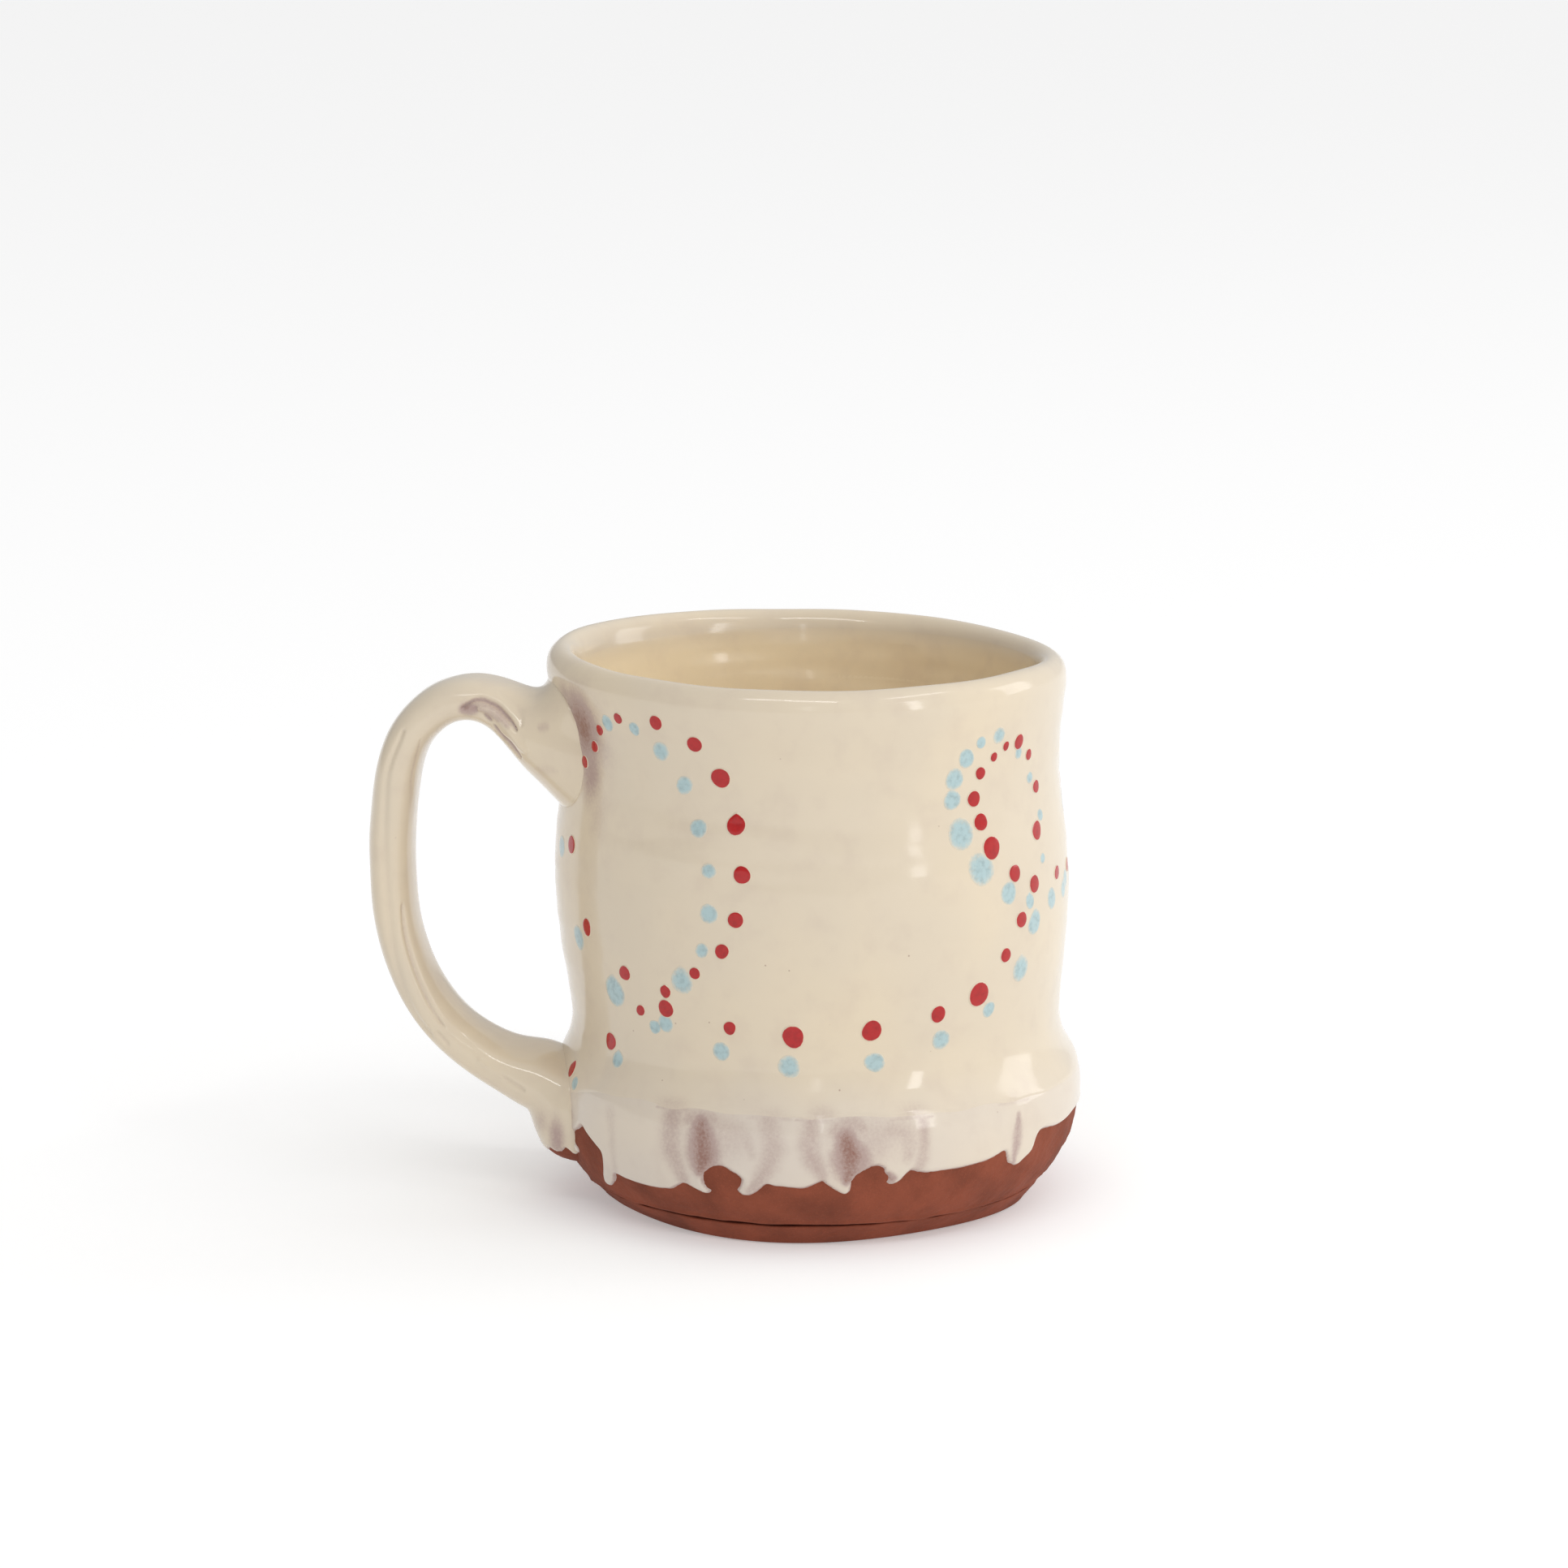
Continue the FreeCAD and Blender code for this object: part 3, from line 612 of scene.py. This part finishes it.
def clay_material(name, tone, shade=1.0):
    """Matt fired red clay with grog, pits and a bloom of paler dust."""
    material, n, place, shader = new_material(name)
    body = n.noise(place, 9.0, 4.0)
    grog = n.add("ShaderNodeTexVoronoi", {"Vector": place, "Scale": 1.0 / (0.75 * MM)})
    sand = n.noise(place, 0.35, 3.0, 0.7)
    dark = scaled(tone, 0.62 * shade)
    pale = scaled(tone, 1.45 * shade)
    base = n.mix(n.span(body, 0.3, 0.75), linear(tone), dark)
    base = n.mix(n.span(sand, 0.55, 0.8, 0.0, 0.45), base, pale)
    base = n.mix(n.span(grog.outputs["Distance"], 0.2, 0.06, 0.0, 0.3), base, pale)
    base = n.mix(n.span(sand, 0.42, 0.25, 0.0, 0.55), base, dark)
    height = n.math("ADD", n.math("MULTIPLY", sand, 0.7),
                    n.math("MULTIPLY", grog.outputs["Distance"], 0.5))
    normal = n.bump(height, 0.7, 0.12)
    link(n, shader, Base_Color=base, Normal=normal)
    shader.inputs["Roughness"].default_value = 0.86
    shader.inputs["Specular IOR Level"].default_value = 0.3
    return material


def spot_material(name, tone, softness):
    """Coloured slip melted into the glaze, fading into it at its edge."""
    material, n, place, shader = new_material(name)
    ground, thin, grit = glaze_colour(n, place)
    blotch = n.noise(place, 0.9, 3.0)
    paint = n.mix(n.span(blotch, 0.4, 0.75, 0.0, 0.7), linear(tone), scaled(tone, 0.72))
    core = n.math("ADD", n.value_of("core"), n.swing(grit, softness * 1.6))
    share = n.span(core, EDGE_OF_DOT - softness, EDGE_OF_DOT + softness)
    link(n, shader, Base_Color=n.mix(share, ground, paint))
    glaze_skin(n, place, shader, thin)
    return material


def floor_material():
    """Plain white sweep, lit a little from behind like a light table."""
    material, n, place, shader = new_material("pale_floor")
    grain = n.noise(place, 2.0)
    tone = n.mix(n.span(grain, 0.3, 0.7, 0.0, 0.5), linear(FLOOR), linear(FLOOR_GRAIN))
    link(n, shader, Base_Color=tone)
    shader.inputs["Emission Color"].default_value = (1.0, 1.0, 1.0, 1.0)
    shader.inputs["Emission Strength"].default_value = FLOOR_GLOW
    shader.inputs["Roughness"].default_value = 0.9
    shader.inputs["Specular IOR Level"].default_value = 0.1
    return material


# ---- glaze thickness ----
def edge_distance(turns, heights):
    """Millimetres above the glaze's lower edge, negative on the bare clay."""
    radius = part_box("outer_glaze")[1].x / MM - DRAWN_IN
    scale = math.radians(1.0) * radius
    edge = [(a * scale, z) for a, z in eased(GLAZE_EDGE)]
    loop = edge + [(edge[-1][0], FAR), (edge[0][0], FAR)]
    x = ((turns + 180.0) % 360.0 - 180.0) * scale
    away = to_line(x, heights, edge)
    return np.where(inside_of(x, heights, loop), away, -away)


def coat_of(distance):
    """Glaze thickness by distance from its edge: a rounded roll, and sunk beyond it."""
    share = np.clip(distance / EDGE_ROLL, 0.0, 1.0)
    roll = COAT * np.sqrt(1.0 - (1.0 - share) ** 2)
    bead = BEAD * np.exp(-((distance - 0.8) / 0.5) ** 2)
    return np.where(distance > 0.0, roll + bead * share, SUNK * smooth(-distance / 0.5))


def under_clay(wall, rows, turns, depth):
    """The hidden inner layer of a coat, this deep in the wall."""
    clay, normal = wall.grid(rows, turns)
    return clay - normal * depth


def strokes_at(turns, heights, scale):
    """Thinness of the finger marks at each point."""
    thin = np.zeros(np.shape(heights))
    for line, strength in THIN_STROKES:
        line = eased([(a * scale, z, WIDER * w) for a, z, w in line], 3)
        thin = np.maximum(thin, strength * brushed(turns * scale, heights, line))
    return thin


def clouds_at(turns, heights, scale, clouds):
    """Strength of the soft clouds at each point: thin glaze, and painted shade for the clouds beside
    the handle's upper joint.
    """
    thin = np.zeros(np.shape(heights))
    for angle, height, width, tall, strength in clouds:
        far = ((turns - angle) * scale / width) ** 2 + ((heights - height) / tall) ** 2
        thin = np.maximum(thin, strength * np.exp(-far))
    return thin


def throwing(points):
    """Soft rings left by throwing, and a slight unevenness."""
    level = points * np.array((0.12, 0.12, 1.0))
    return THROWING * (ripples(level, 6.5, 11) + 0.6 * ripples(level, 2.6, 12)
                       + 0.8 * ripples(points, 17.0, 13))


# ---- body pieces ----
def skirt_turns():
    """Angles round the first dip: close where its edge is busy, wider elsewhere."""
    turns = [-180.0]
    while turns[-1] < 180.0:
        busy = any(low < turns[-1] < high for low, high in BUSY_TURNS)
        turns.append(turns[-1] + (BUSY_STEP if busy else PLAIN_STEP))
    return np.array(turns[:-1])


def make_skirt(wall, glaze):
    """First dip: the whiter coat round the bulge, with its ragged lower edge."""
    turns = skirt_turns()
    heights = np.arange(SKIRT_LOW, SKIRT_TOP, 0.33)
    clay, normal = wall.grid(wall.row_at(heights), turns)
    turn_grid = np.broadcast_to(turns, clay.shape[:2])
    away = edge_distance(turn_grid, clay[..., 2])
    thick = coat_of(away) - 0.25 * smooth((clay[..., 2] - 25.0) / 1.5)
    scale = math.radians(1.0) * clay[..., 0].max()
    thin = strokes_at(turn_grid, clay[..., 2], scale)
    thin = np.maximum(thin, clouds_at(turn_grid, clay[..., 2], scale, THIN_VEILS))
    thin = np.maximum(thin, 0.5 * np.exp(-(np.maximum(away, 0.0) / 0.35) ** 2))
    thick = thick - THIN_LOSS * thin * (away > 0.0)
    wave = throwing(clay) * smooth(away / 2.0) * 0.6
    outer = clay + normal * (thick + wave)[..., None]
    coarse = np.linspace(SKIRT_LOW, SKIRT_TOP - 0.2, 8)
    inner = under_clay(wall, wall.row_at(coarse), turns, 0.6)
    return shell("skirt_glaze", outer, inner, glaze, "cream_glaze", ["outer_glaze"],
                 thin=thin, warm=0.0)


def make_main_coat(wall, glaze):
    """Second dip: from the line on the bulge up over the lip."""
    turns = np.arange(-180.0, 180.0, 1.0)
    line = np.interp(turns, *zip(*eased(DIP_LINE, 6)))
    line = line + 0.12 * ripples(outward(turns) * BULGE_RADIUS, 9.0, 21)
    low = wall.row_at(line - 0.6)
    last = wall.inside_row_at(DIP_END)
    steps = np.concatenate([np.linspace(0.0, 0.03, 8)[:-1], np.linspace(0.03, 1.0, 118)])
    rows = low[None, :] + (last - low)[None, :] * steps[:, None]
    clay, normal = wall.grid(rows, turns)
    up = clay[..., 2] - line[None, :]
    inside = np.clip((rows - wall.inside_first) / (last - wall.inside_first), 0.0, 1.0)
    thick = DIP_EDGE + (COAT + LINE_STEP - DIP_EDGE) * smooth(up / 0.75)
    thick = thick - LINE_STEP * smooth(up / 12.0) - 0.02 * smooth(inside / 0.8)
    thick = thick - 0.3 * smooth((inside - 0.86) / 0.14)
    turn_grid = np.broadcast_to(turns, clay.shape[:2])
    scale = math.radians(1.0) * (BULGE_RADIUS - DRAWN_IN)
    outside = rows < wall.inside_first
    # Pinkish clouds: painted shade on the wall beside the handle's upper joint, thin glaze
    # elsewhere.
    thin = clouds_at(turn_grid, clay[..., 2], scale, THIN_AND_SHADE_CLOUDS) * outside
    seen = 0.26 + 0.14 * ripples(outward(turns) * BULGE_RADIUS, 14.0, 22)
    thin = np.maximum(thin, seen[None, :] * np.exp(-(np.maximum(up, 0.0) / 0.32) ** 2))
    outer = clay + normal * (thick + throwing(clay) * (up > 0.5))[..., None]
    coarse = np.linspace(0.0, 1.0, 16)
    inner_rows = low[None, :] + (last - low)[None, :] * coarse[:, None]
    inner = under_clay(wall, inner_rows, turns, 0.7)
    warm = 0.5 + 0.5 * smooth(up / 12.0) + 0.8 * smooth((rows - wall.inside_first + 3.0) / 7.0)
    return shell("main_glaze", outer, inner, glaze, "cream_glaze", ["outer_glaze"],
                 thin=thin, warm=warm)


def make_liner(wall, glaze):
    """Glaze inside the cup, pooled at the bottom."""
    turns = np.arange(-180.0, 180.0, 1.5)
    heights = np.arange(LINER_TOP, 8.0, -1.1)
    clay, normal = wall.grid(wall.inside_row_at(heights), turns)
    share = np.clip((LINER_TOP - heights) / (LINER_TOP - DIP_END), 0.0, 1.0)
    thick = COAT - 0.02 * (1.0 - share) - 0.3 * (1.0 - smooth(share / 0.15))
    side = clay + normal * (thick[:, None] + throwing(clay))[..., None]
    ways = outward(turns)
    floor_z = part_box("liner_glaze")[0].z / MM + 0.75
    foot = side[-1]
    reach = np.linalg.norm(foot[:, :2], axis=1)
    floor = []
    for t in np.linspace(0.08, 1.0, 26):
        radius = reach * (1.0 - t) ** 0.8 + 0.6 * t
        ring = ways * radius[:, None]
        ring[:, 2] = floor_z + (foot[:, 2] - floor_z) * (1.0 - t) ** 5.5
        spiral = np.cos(radius * 1.5 + np.radians(turns))
        ring[:, 2] += 0.10 * spiral * smooth(t * 4.0) * smooth((1.0 - t) * 5.0)
        floor.append(ring)
    rings = np.concatenate([side, np.array(floor)])
    under = rings[::-3].copy()
    under[..., 2] -= 0.35
    inset = 0.5 * smooth((under[..., 2] - 7.0) / 6.0)
    under[..., :2] *= (1.0 + inset / FOOT_RADIUS)[..., None]
    rings = np.concatenate([under, rings])
    return capped("liner_glaze_coat", rings, glaze, "cream_glaze", ["liner_glaze"],
                  thin=0.0, warm=1.8)


def make_clay_wall(wall, clay):
    """Thrown red-clay wall, its foot edge softened at the seam."""
    turns = np.arange(-180.0, 180.0, 0.8)
    low = np.arange(0.4, 20.0, 0.33)
    high = np.arange(20.0, wall.inside_first, 1.0)
    inside = np.arange(wall.inside_first, wall.last - 1.0, 1.5)
    points, normal = wall.grid(np.concatenate([low, high, inside]), turns)
    wobble = 0.06 * ripples(points, 7.0, 31) + 0.035 * ripples(points, 1.7, 32)
    bare = smooth((19.0 - points[..., 2]) / 3.0) * (np.arange(len(points)) < len(low))[:, None]
    points = points + normal * (wobble * bare)[..., None]
    chip = 0.05 * ripples(outward(turns) * FOOT_RADIUS, 5.0, 33)
    under = []
    for inset, height in WALL_EDGE:
        ring = points[0].copy()
        ring[:, :2] *= (1.0 - inset / FOOT_RADIUS)
        ring[:, 2] = height + chip * (1.0 if height < 4.6 else 0.4)
        under.append(ring)
    rings = np.concatenate([np.array(under[::-1]), points])
    faces = join_grid(len(rings), len(turns), closed_section=True)
    return piece("clay_wall", rings.reshape(-1, 3), faces, clay, "red_clay", ["wall"])


def make_slab(clay):
    """Rolled slab foot: cut in towards the table, both edges softened by hand."""
    tree = tree_of("base_slab")
    turns = np.arange(-180.0, 180.0, 0.8)
    ways = outward(turns)
    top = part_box("base_slab")[1].z / MM

    def ring(height):
        return np.array([hit(tree, way * FAR + (0, 0, height), -way) for way in ways[::5]])

    def full(height):
        """The slab's outline at a height, smooth between its rays."""
        radii = np.linalg.norm(ring(height)[:, :2], axis=1)
        waves = np.fft.rfft(radii)[:WALL_HARMONICS + 1] / len(radii)
        waves[1:] *= 2.0
        start = np.radians(turns - turns[0])[:, None]
        return (waves * np.exp(1j * start * np.arange(len(waves)))).real.sum(1)

    low, high = full(0.15), full(top - 0.15)
    chip = ripples(ways * FOOT_RADIUS, 5.5, 41)
    rows = [(0.0, 12.0), (0.0, 3.0), (0.0, 1.2), (0.05, 0.55), (0.22, 0.18), (0.5, 0.02)]
    rows += [(z, 0.0) for z in np.arange(0.8, top - 0.5, 0.3)]
    rows += [(top - 0.38, 0.03), (top - 0.18, 0.14), (top - 0.03, 0.42), (top, 1.2), (top, 8.0)]
    rings = []
    for height, inset in rows:
        radius = low + (high - low) * height / top - inset
        edge = ways * radius[:, None]
        edge[:, 2] = height - (0.04 * chip + 0.03 if height > top - 0.3 else 0.0)
        rings.append(edge)
    rings = np.array(rings)
    side = smooth((rings[..., 2] - 0.3) / 0.5) * smooth((top - rings[..., 2]) / 0.4)
    bumps = 0.07 * ripples(rings, 6.0, 42) + 0.04 * ripples(rings, 1.6, 43) - 0.05
    rings = rings + ways[None] * (side * bumps)[..., None]
    rings[..., 2] = np.maximum(rings[..., 2], 0.0)
    return capped("clay_slab", rings, clay, "red_clay", ["base_slab"])


def make_seam_slip(slip):
    """Slip in the seam, seen as a dark line in the groove."""
    turns = np.arange(-180.0, 180.0, 1.5)
    ways = outward(turns)
    below, above = (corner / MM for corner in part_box("base_slip_ring"))
    low, high = below.z, above.z
    wobble = 0.12 * ripples(ways * FOOT_RADIUS, 4.0, 51)
    rings = []
    for inset, height in ((0.2, low), (0.0, low + 0.12), (0.0, high - 0.12), (0.2, high),
                          (4.5, high), (4.5, low)):
        edge = ways * (above.x - inset + wobble - 0.6)[:, None]
        edge[:, 2] = height
        rings.append(edge)
    faces = join_grid(len(rings), len(turns), closed_section=True)
    return piece("seam_slip", np.concatenate(rings), faces, slip, "joining_slip", ["base_slip_ring"])


# ---- handle ----
def strap_pole_rings():
    """Control rings of the handle's clay, with the near-side share of each control point."""
    rings = []
    for i, (x, z, thick, width) in enumerate(HANDLE):
        before, after = HANDLE[max(i - 1, 0)], HANDLE[min(i + 1, len(HANDLE) - 1)]
        run = np.array((after[0] - before[0], after[1] - before[1]))
        run = run / np.linalg.norm(run)
        turn = 2.0 * math.pi * np.arange(STRAP_POLES) / STRAP_POLES
        power = 2.0 / (2.0 + STRAP_CORNER / thick)
        swell = 6.0 / (4.0 + 2.0 * math.cos(2.0 * math.pi / STRAP_POLES))
        out = np.sign(np.cos(turn)) * np.abs(np.cos(turn)) ** power * swell * thick / 2.0
        side = np.sign(np.sin(turn)) * np.abs(np.sin(turn)) ** power * swell * width / 2.0
        rings.append(np.stack([x + run[1] * out, side, z - run[0] * out], -1))
    return np.array(rings)


def strap_surface(along, around):
    """Smooth surface through the handle's control rings, before it is turned into place."""
    poles = strap_pole_rings()
    poles = np.concatenate([2 * poles[:1] - poles[1:2], poles, 2 * poles[-1:] - poles[-2:-1]])
    u = np.linspace(1.0, len(poles) - 2.001, along)
    v = np.arange(around) * STRAP_POLES / around
    first_u, first_v = np.floor(u).astype(int), np.floor(v).astype(int)
    rows = sum(w[:, None, None] * poles[first_u - 1 + k]
               for k, w in enumerate(spline_weights(u - first_u)))
    return sum(w[None, :, None] * rows[:, (first_v - 1 + k) % STRAP_POLES]
               for k, w in enumerate(spline_weights(v - first_v)))


def put_in_place(points):
    """Handle points turned and shifted onto the wall, as the CAD handle is."""
    turn = math.radians(-HANDLE_TURN)
    x = points[..., 0] - HANDLE_ROOT_X
    y = points[..., 1]
    moved = points.copy()
    moved[..., 0] = x * math.cos(turn) - y * math.sin(turn) + HANDLE_ROOT_X
    moved[..., 1] = x * math.sin(turn) + y * math.cos(turn) + HANDLE_OFFSET
    return moved


def marks_on(points, normal):
    """Height and thinness that the maker's marks give the handle's near side; along the grooves the
    thinness is partly painted shade.
    """
    near = smooth((-normal[..., 1] - 0.05) / 0.45)
    height = 0.03 * ripples(points, 9.0, 61)
    thin = np.zeros(near.shape)
    for line, width, rise, strength in HANDLE_MARKS:
        mark = brushed(points[..., 0], points[..., 2], tapered(line, width)) * near
        height = height + rise * mark
        thin = np.maximum(thin, strength * mark)
    for x, z, width, tall, strength in HANDLE_CLOUDS:
        lump = np.exp(-((points[..., 0] - x) / width) ** 2 - ((points[..., 2] - z) / tall) ** 2)
        thin = np.maximum(thin, strength * lump)
    # One groove runs down the middle of the far side.
    far = smooth((normal[..., 1] - 0.05) / 0.45)
    groove = np.exp(-((points[..., 0] + 72.4) / 0.8) ** 2) * smooth((points[..., 2] - 40.0) / 8.0)
    height = height - 0.2 * groove * far * smooth((84.0 - points[..., 2]) / 6.0)
    return height, thin


def flare_at(points, normal):
    """How far the handle swells where it was smoothed onto the wall."""
    tree = tree_of("wall")
    placed = put_in_place(points)
    away = np.array([tree.find_nearest(Vector(p))[3] for p in placed.reshape(-1, 3)])
    away = away.reshape(points.shape[:2])
    height = np.zeros(away.shape)
    upper = points[..., 2] > HANDLE_MIDDLE
    for at_upper, way, extra, reach in HANDLE_FLARES:
        facing = smooth((normal @ np.array(way) - 0.25) / 0.6)
        height += extra * facing * (upper == at_upper) * np.exp(-away / reach)
    return height


def handle_coat_thickness(points):
    """Glaze on the handle: a ragged edge above the bare lip at the lower joint."""
    level = np.interp(points[..., 0], *zip(*HANDLE_EDGE))
    level = level + 0.3 * ripples(points, 3.0, 62)
    away = points[..., 2] - level
    return coat_of(away), away


def marked_strap(along, around):
    """The handle's surface and normals, with the height and thinness of its marks."""
    points = strap_surface(along, around)
    normal = normals_of(points)
    height, thin = marks_on(points, normal)
    return points, normal, height + flare_at(points, normal), thin


def make_handle(glaze, clay):
    """Pulled handle: a clay strap and the glaze over it."""
    core, normal, height, _ = marked_strap(150, 60)
    rough = 0.05 * ripples(core, 1.6, 63) * (core[..., 2] < 14.0)
    core = core + normal * (height - 0.02 + rough)[..., None]
    capped("handle_clay", put_in_place(core), clay, "red_clay", ["handle"])
    skin, normal, height, thin = marked_strap(420, 132)
    thick, away = handle_coat_thickness(skin)
    thin = np.maximum(thin, 0.5 * np.exp(-(np.maximum(away, 0.0) / 0.4) ** 2))
    coat = skin + normal * (height + thick - STRAP_SKIN)[..., None]
    return capped("handle_glaze_coat", put_in_place(coat), glaze, "cream_glaze", ["handle_glaze"],
                  thin=thin, warm=0.9)


# ---- dots ----
def islands(node):
    """Middle and size of each separate dot in a CAD node, in millimetres."""
    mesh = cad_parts[node].data
    places = np.array([v.co for v in mesh.vertices]) / MM
    keys = {}
    owner = list(range(len(places)))

    def root(i):
        while owner[i] != i:
            owner[i] = owner[owner[i]]
            i = owner[i]
        return i

    for i, p in enumerate(np.round(places, 4).tolist()):
        owner[i] = keys.setdefault(tuple(p), i)
    for face in mesh.polygons:
        first = root(face.vertices[0])
        for v in face.vertices[1:]:
            owner[root(v)] = first
    groups = {}
    for i in range(len(places)):
        groups.setdefault(root(i), []).append(i)
    found = []
    for members in groups.values():
        part = places[members]
        low, high = part.min(0), part.max(0)
        found.append(((low + high) / 2.0, high[2] - low[2]))
    return sorted(found, key=lambda dot: tuple(dot[0]))


def make_dots(name, node, material, tree, seed, relief, spread, pointed, fade):
    """Dots of coloured slip, each its own low dome that follows the glaze.

    A dome spreads past its CAD size, as its colour stops short of its edge.
    """
    rng = np.random.default_rng(seed)
    around, rings = 28, 9
    phi = 2.0 * math.pi * np.arange(around) / around
    points, faces, core = [], [], []
    for centre, size in islands(node):
        angle = math.degrees(math.atan2(centre[0], -centre[1]))
        way = outward(np.array([angle]))[0]
        side = np.array((-way[1], way[0], 0.0))
        wobble = 1.0 + rng.uniform(0.0, 0.08) * np.cos(2 * phi + rng.uniform(0, 6.3))
        wobble += rng.uniform(0.0, 0.05) * np.cos(3 * phi + rng.uniform(0, 6.3))
        if rng.uniform() < pointed:
            wobble += 0.24 * np.exp(-((phi - math.pi / 2.0) / 0.3) ** 2)
        depth = 1.0 - fade * rng.uniform(0.0, 1.0)
        start = len(points)
        for k in range(rings + 1):
            share = k / rings
            edge = wobble * share + (1.0 - share) * share
            reach = edge * size / 2.0 * spread
            profile = relief * (1.0 - share ** 3) - 0.05 * smooth((share - 0.8) / 0.2)
            for j in range(around if k else 1):
                target = (centre + side * (reach[j] * math.cos(phi[j]))
                          + np.array((0, 0, reach[j] * math.sin(phi[j]))))
                place, normal, _, _ = tree.ray_cast(Vector(target + way * 20.0), Vector(-way))
                points.append(np.array(place + normal * profile))
                core.append((1.0 - share) * depth)
        points.append(np.array(points[start]) - way * (relief + 0.3))
        core.append(0.0)
        faces += [(start, start + 1 + (j + 1) % around, start + 1 + j)[::-1] for j in range(around)]
        for k in range(rings - 1):
            a, b = start + 1 + k * around, start + 1 + (k + 1) * around
            faces += [(a + j, b + j, b + (j + 1) % around, a + (j + 1) % around)
                      for j in range(around)]
        last, under = start + 1 + (rings - 1) * around, len(points) - 1
        faces += [(last + j, under, last + (j + 1) % around) for j in range(around)]
    return piece(name, points, faces, material, name, [node], core=np.array(core),
                 warm=np.ones(len(core)), thin=np.zeros(len(core)))


def glazed_tree(*pieces):
    """Search tree of the finished coats that the dots sit on."""
    points, faces = [], []
    for made in pieces:
        start = len(points)
        points += [v.co / MM for v in made.data.vertices]
        faces += [tuple(start + v for v in p.vertices) for p in made.data.polygons]
    return BVHTree.FromPolygons(points, faces)


# ---- stage ----
def make_camera():
    """Camera a little above the rim, nine hundred millimetres in front."""
    data = bpy.data.cameras.new("camera")
    data.lens = 121.5
    data.sensor_width = 36.0
    camera = bpy.data.objects.new("camera", data)
    camera.location = (0.0, -0.9, 0.248)
    camera.rotation_euler = (math.radians(78.94), 0.0, math.radians(0.325))
    bpy.context.scene.collection.objects.link(camera)
    bpy.context.scene.camera = camera


def make_floor():
    """Wide pale floor."""
    half = 30.0
    mesh = bpy.data.meshes.new("floor")
    mesh.from_pydata([(-half, -half, 0), (half, -half, 0), (half, half, 0), (-half, half, 0)],
                     [], [(0, 1, 2, 3)])
    mesh.materials.append(floor_material())
    floor = bpy.data.objects.new("floor", mesh)
    bpy.context.scene.collection.objects.link(floor)


def make_light(name, azimuth, elevation, width, height, radiance):
    """Soft box that faces the mug."""
    turn, rise = math.radians(azimuth), math.radians(elevation)
    wide = 2.0 * LIGHT_DISTANCE * math.tan(math.radians(width) / 2.0)
    tall = 2.0 * LIGHT_DISTANCE * math.tan(math.radians(height) / 2.0)
    data = bpy.data.lights.new(name, "AREA")
    data.shape = "RECTANGLE"
    data.size = wide
    data.size_y = tall
    data.energy = radiance * math.pi * wide * tall
    light = bpy.data.objects.new(name, data)
    flat = LIGHT_DISTANCE * math.cos(rise)
    lift = LIGHT_DISTANCE * math.sin(rise)
    light.location = (flat * math.sin(turn), -flat * math.cos(turn), lift)
    light.rotation_euler = (math.radians(90.0) - rise, 0.0, turn)
    bpy.context.scene.collection.objects.link(light)


def make_world():
    """Even white surroundings, a little brighter towards the right and above."""
    world = bpy.data.worlds.new("studio")
    bpy.context.scene.world = world
    world.use_nodes = True
    world.node_tree.nodes.clear()
    n = Nodes(world.node_tree)
    way = n.add("ShaderNodeTexCoord").outputs["Generated"]
    parts = n.add("ShaderNodeSeparateXYZ", {0: way})
    level = n.span(parts.outputs["X"], -1.0, 1.0, 0.38, 0.94)
    rise = n.span(parts.outputs["Z"], 0.0, 1.0, 0.90, 1.24)
    shade = n.add("ShaderNodeBackground", {"Color": (1.0, 1.0, 1.0, 1.0),
                                           "Strength": n.math("MULTIPLY", level, rise)})
    n.add("ShaderNodeOutputWorld", {"Surface": shade.outputs[0]})


def make_stage():
    """Camera, floor and lights."""
    make_camera()
    make_floor()
    make_world()
    for light in LIGHTS:
        make_light(*light)
    bpy.context.scene.view_settings.view_transform = "Standard"


# ---- the mug ----
def make_mug():
    """All the pieces."""
    glaze = glaze_material()
    clay = clay_material("fired_red_clay", CLAY)
    slip = clay_material("fired_slip", SLIP_CLAY, 0.8)
    wall = Wall()
    make_clay_wall(wall, clay)
    make_slab(clay)
    make_seam_slip(slip)
    skirt = make_skirt(wall, glaze)
    main = make_main_coat(wall, glaze)
    make_liner(wall, glaze)
    make_handle(glaze, clay)
    tree = glazed_tree(main, skirt)
    make_dots("red_spots", "red_dots", spot_material("red_slip", RED, softness=0.06), tree,
              seed=71, relief=0.16, spread=1.24, pointed=0.25, fade=0.05)
    make_dots("blue_spots", "blue_dots", spot_material("blue_slip", BLUE, softness=0.28), tree,
              seed=72, relief=0.05, spread=1.38, pointed=0.1, fade=0.3)
    for node in ("upper_slip_joint", "lower_slip_joint"):
        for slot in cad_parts[node].material_slots:
            slot.material = slip


make_stage()
make_mug()
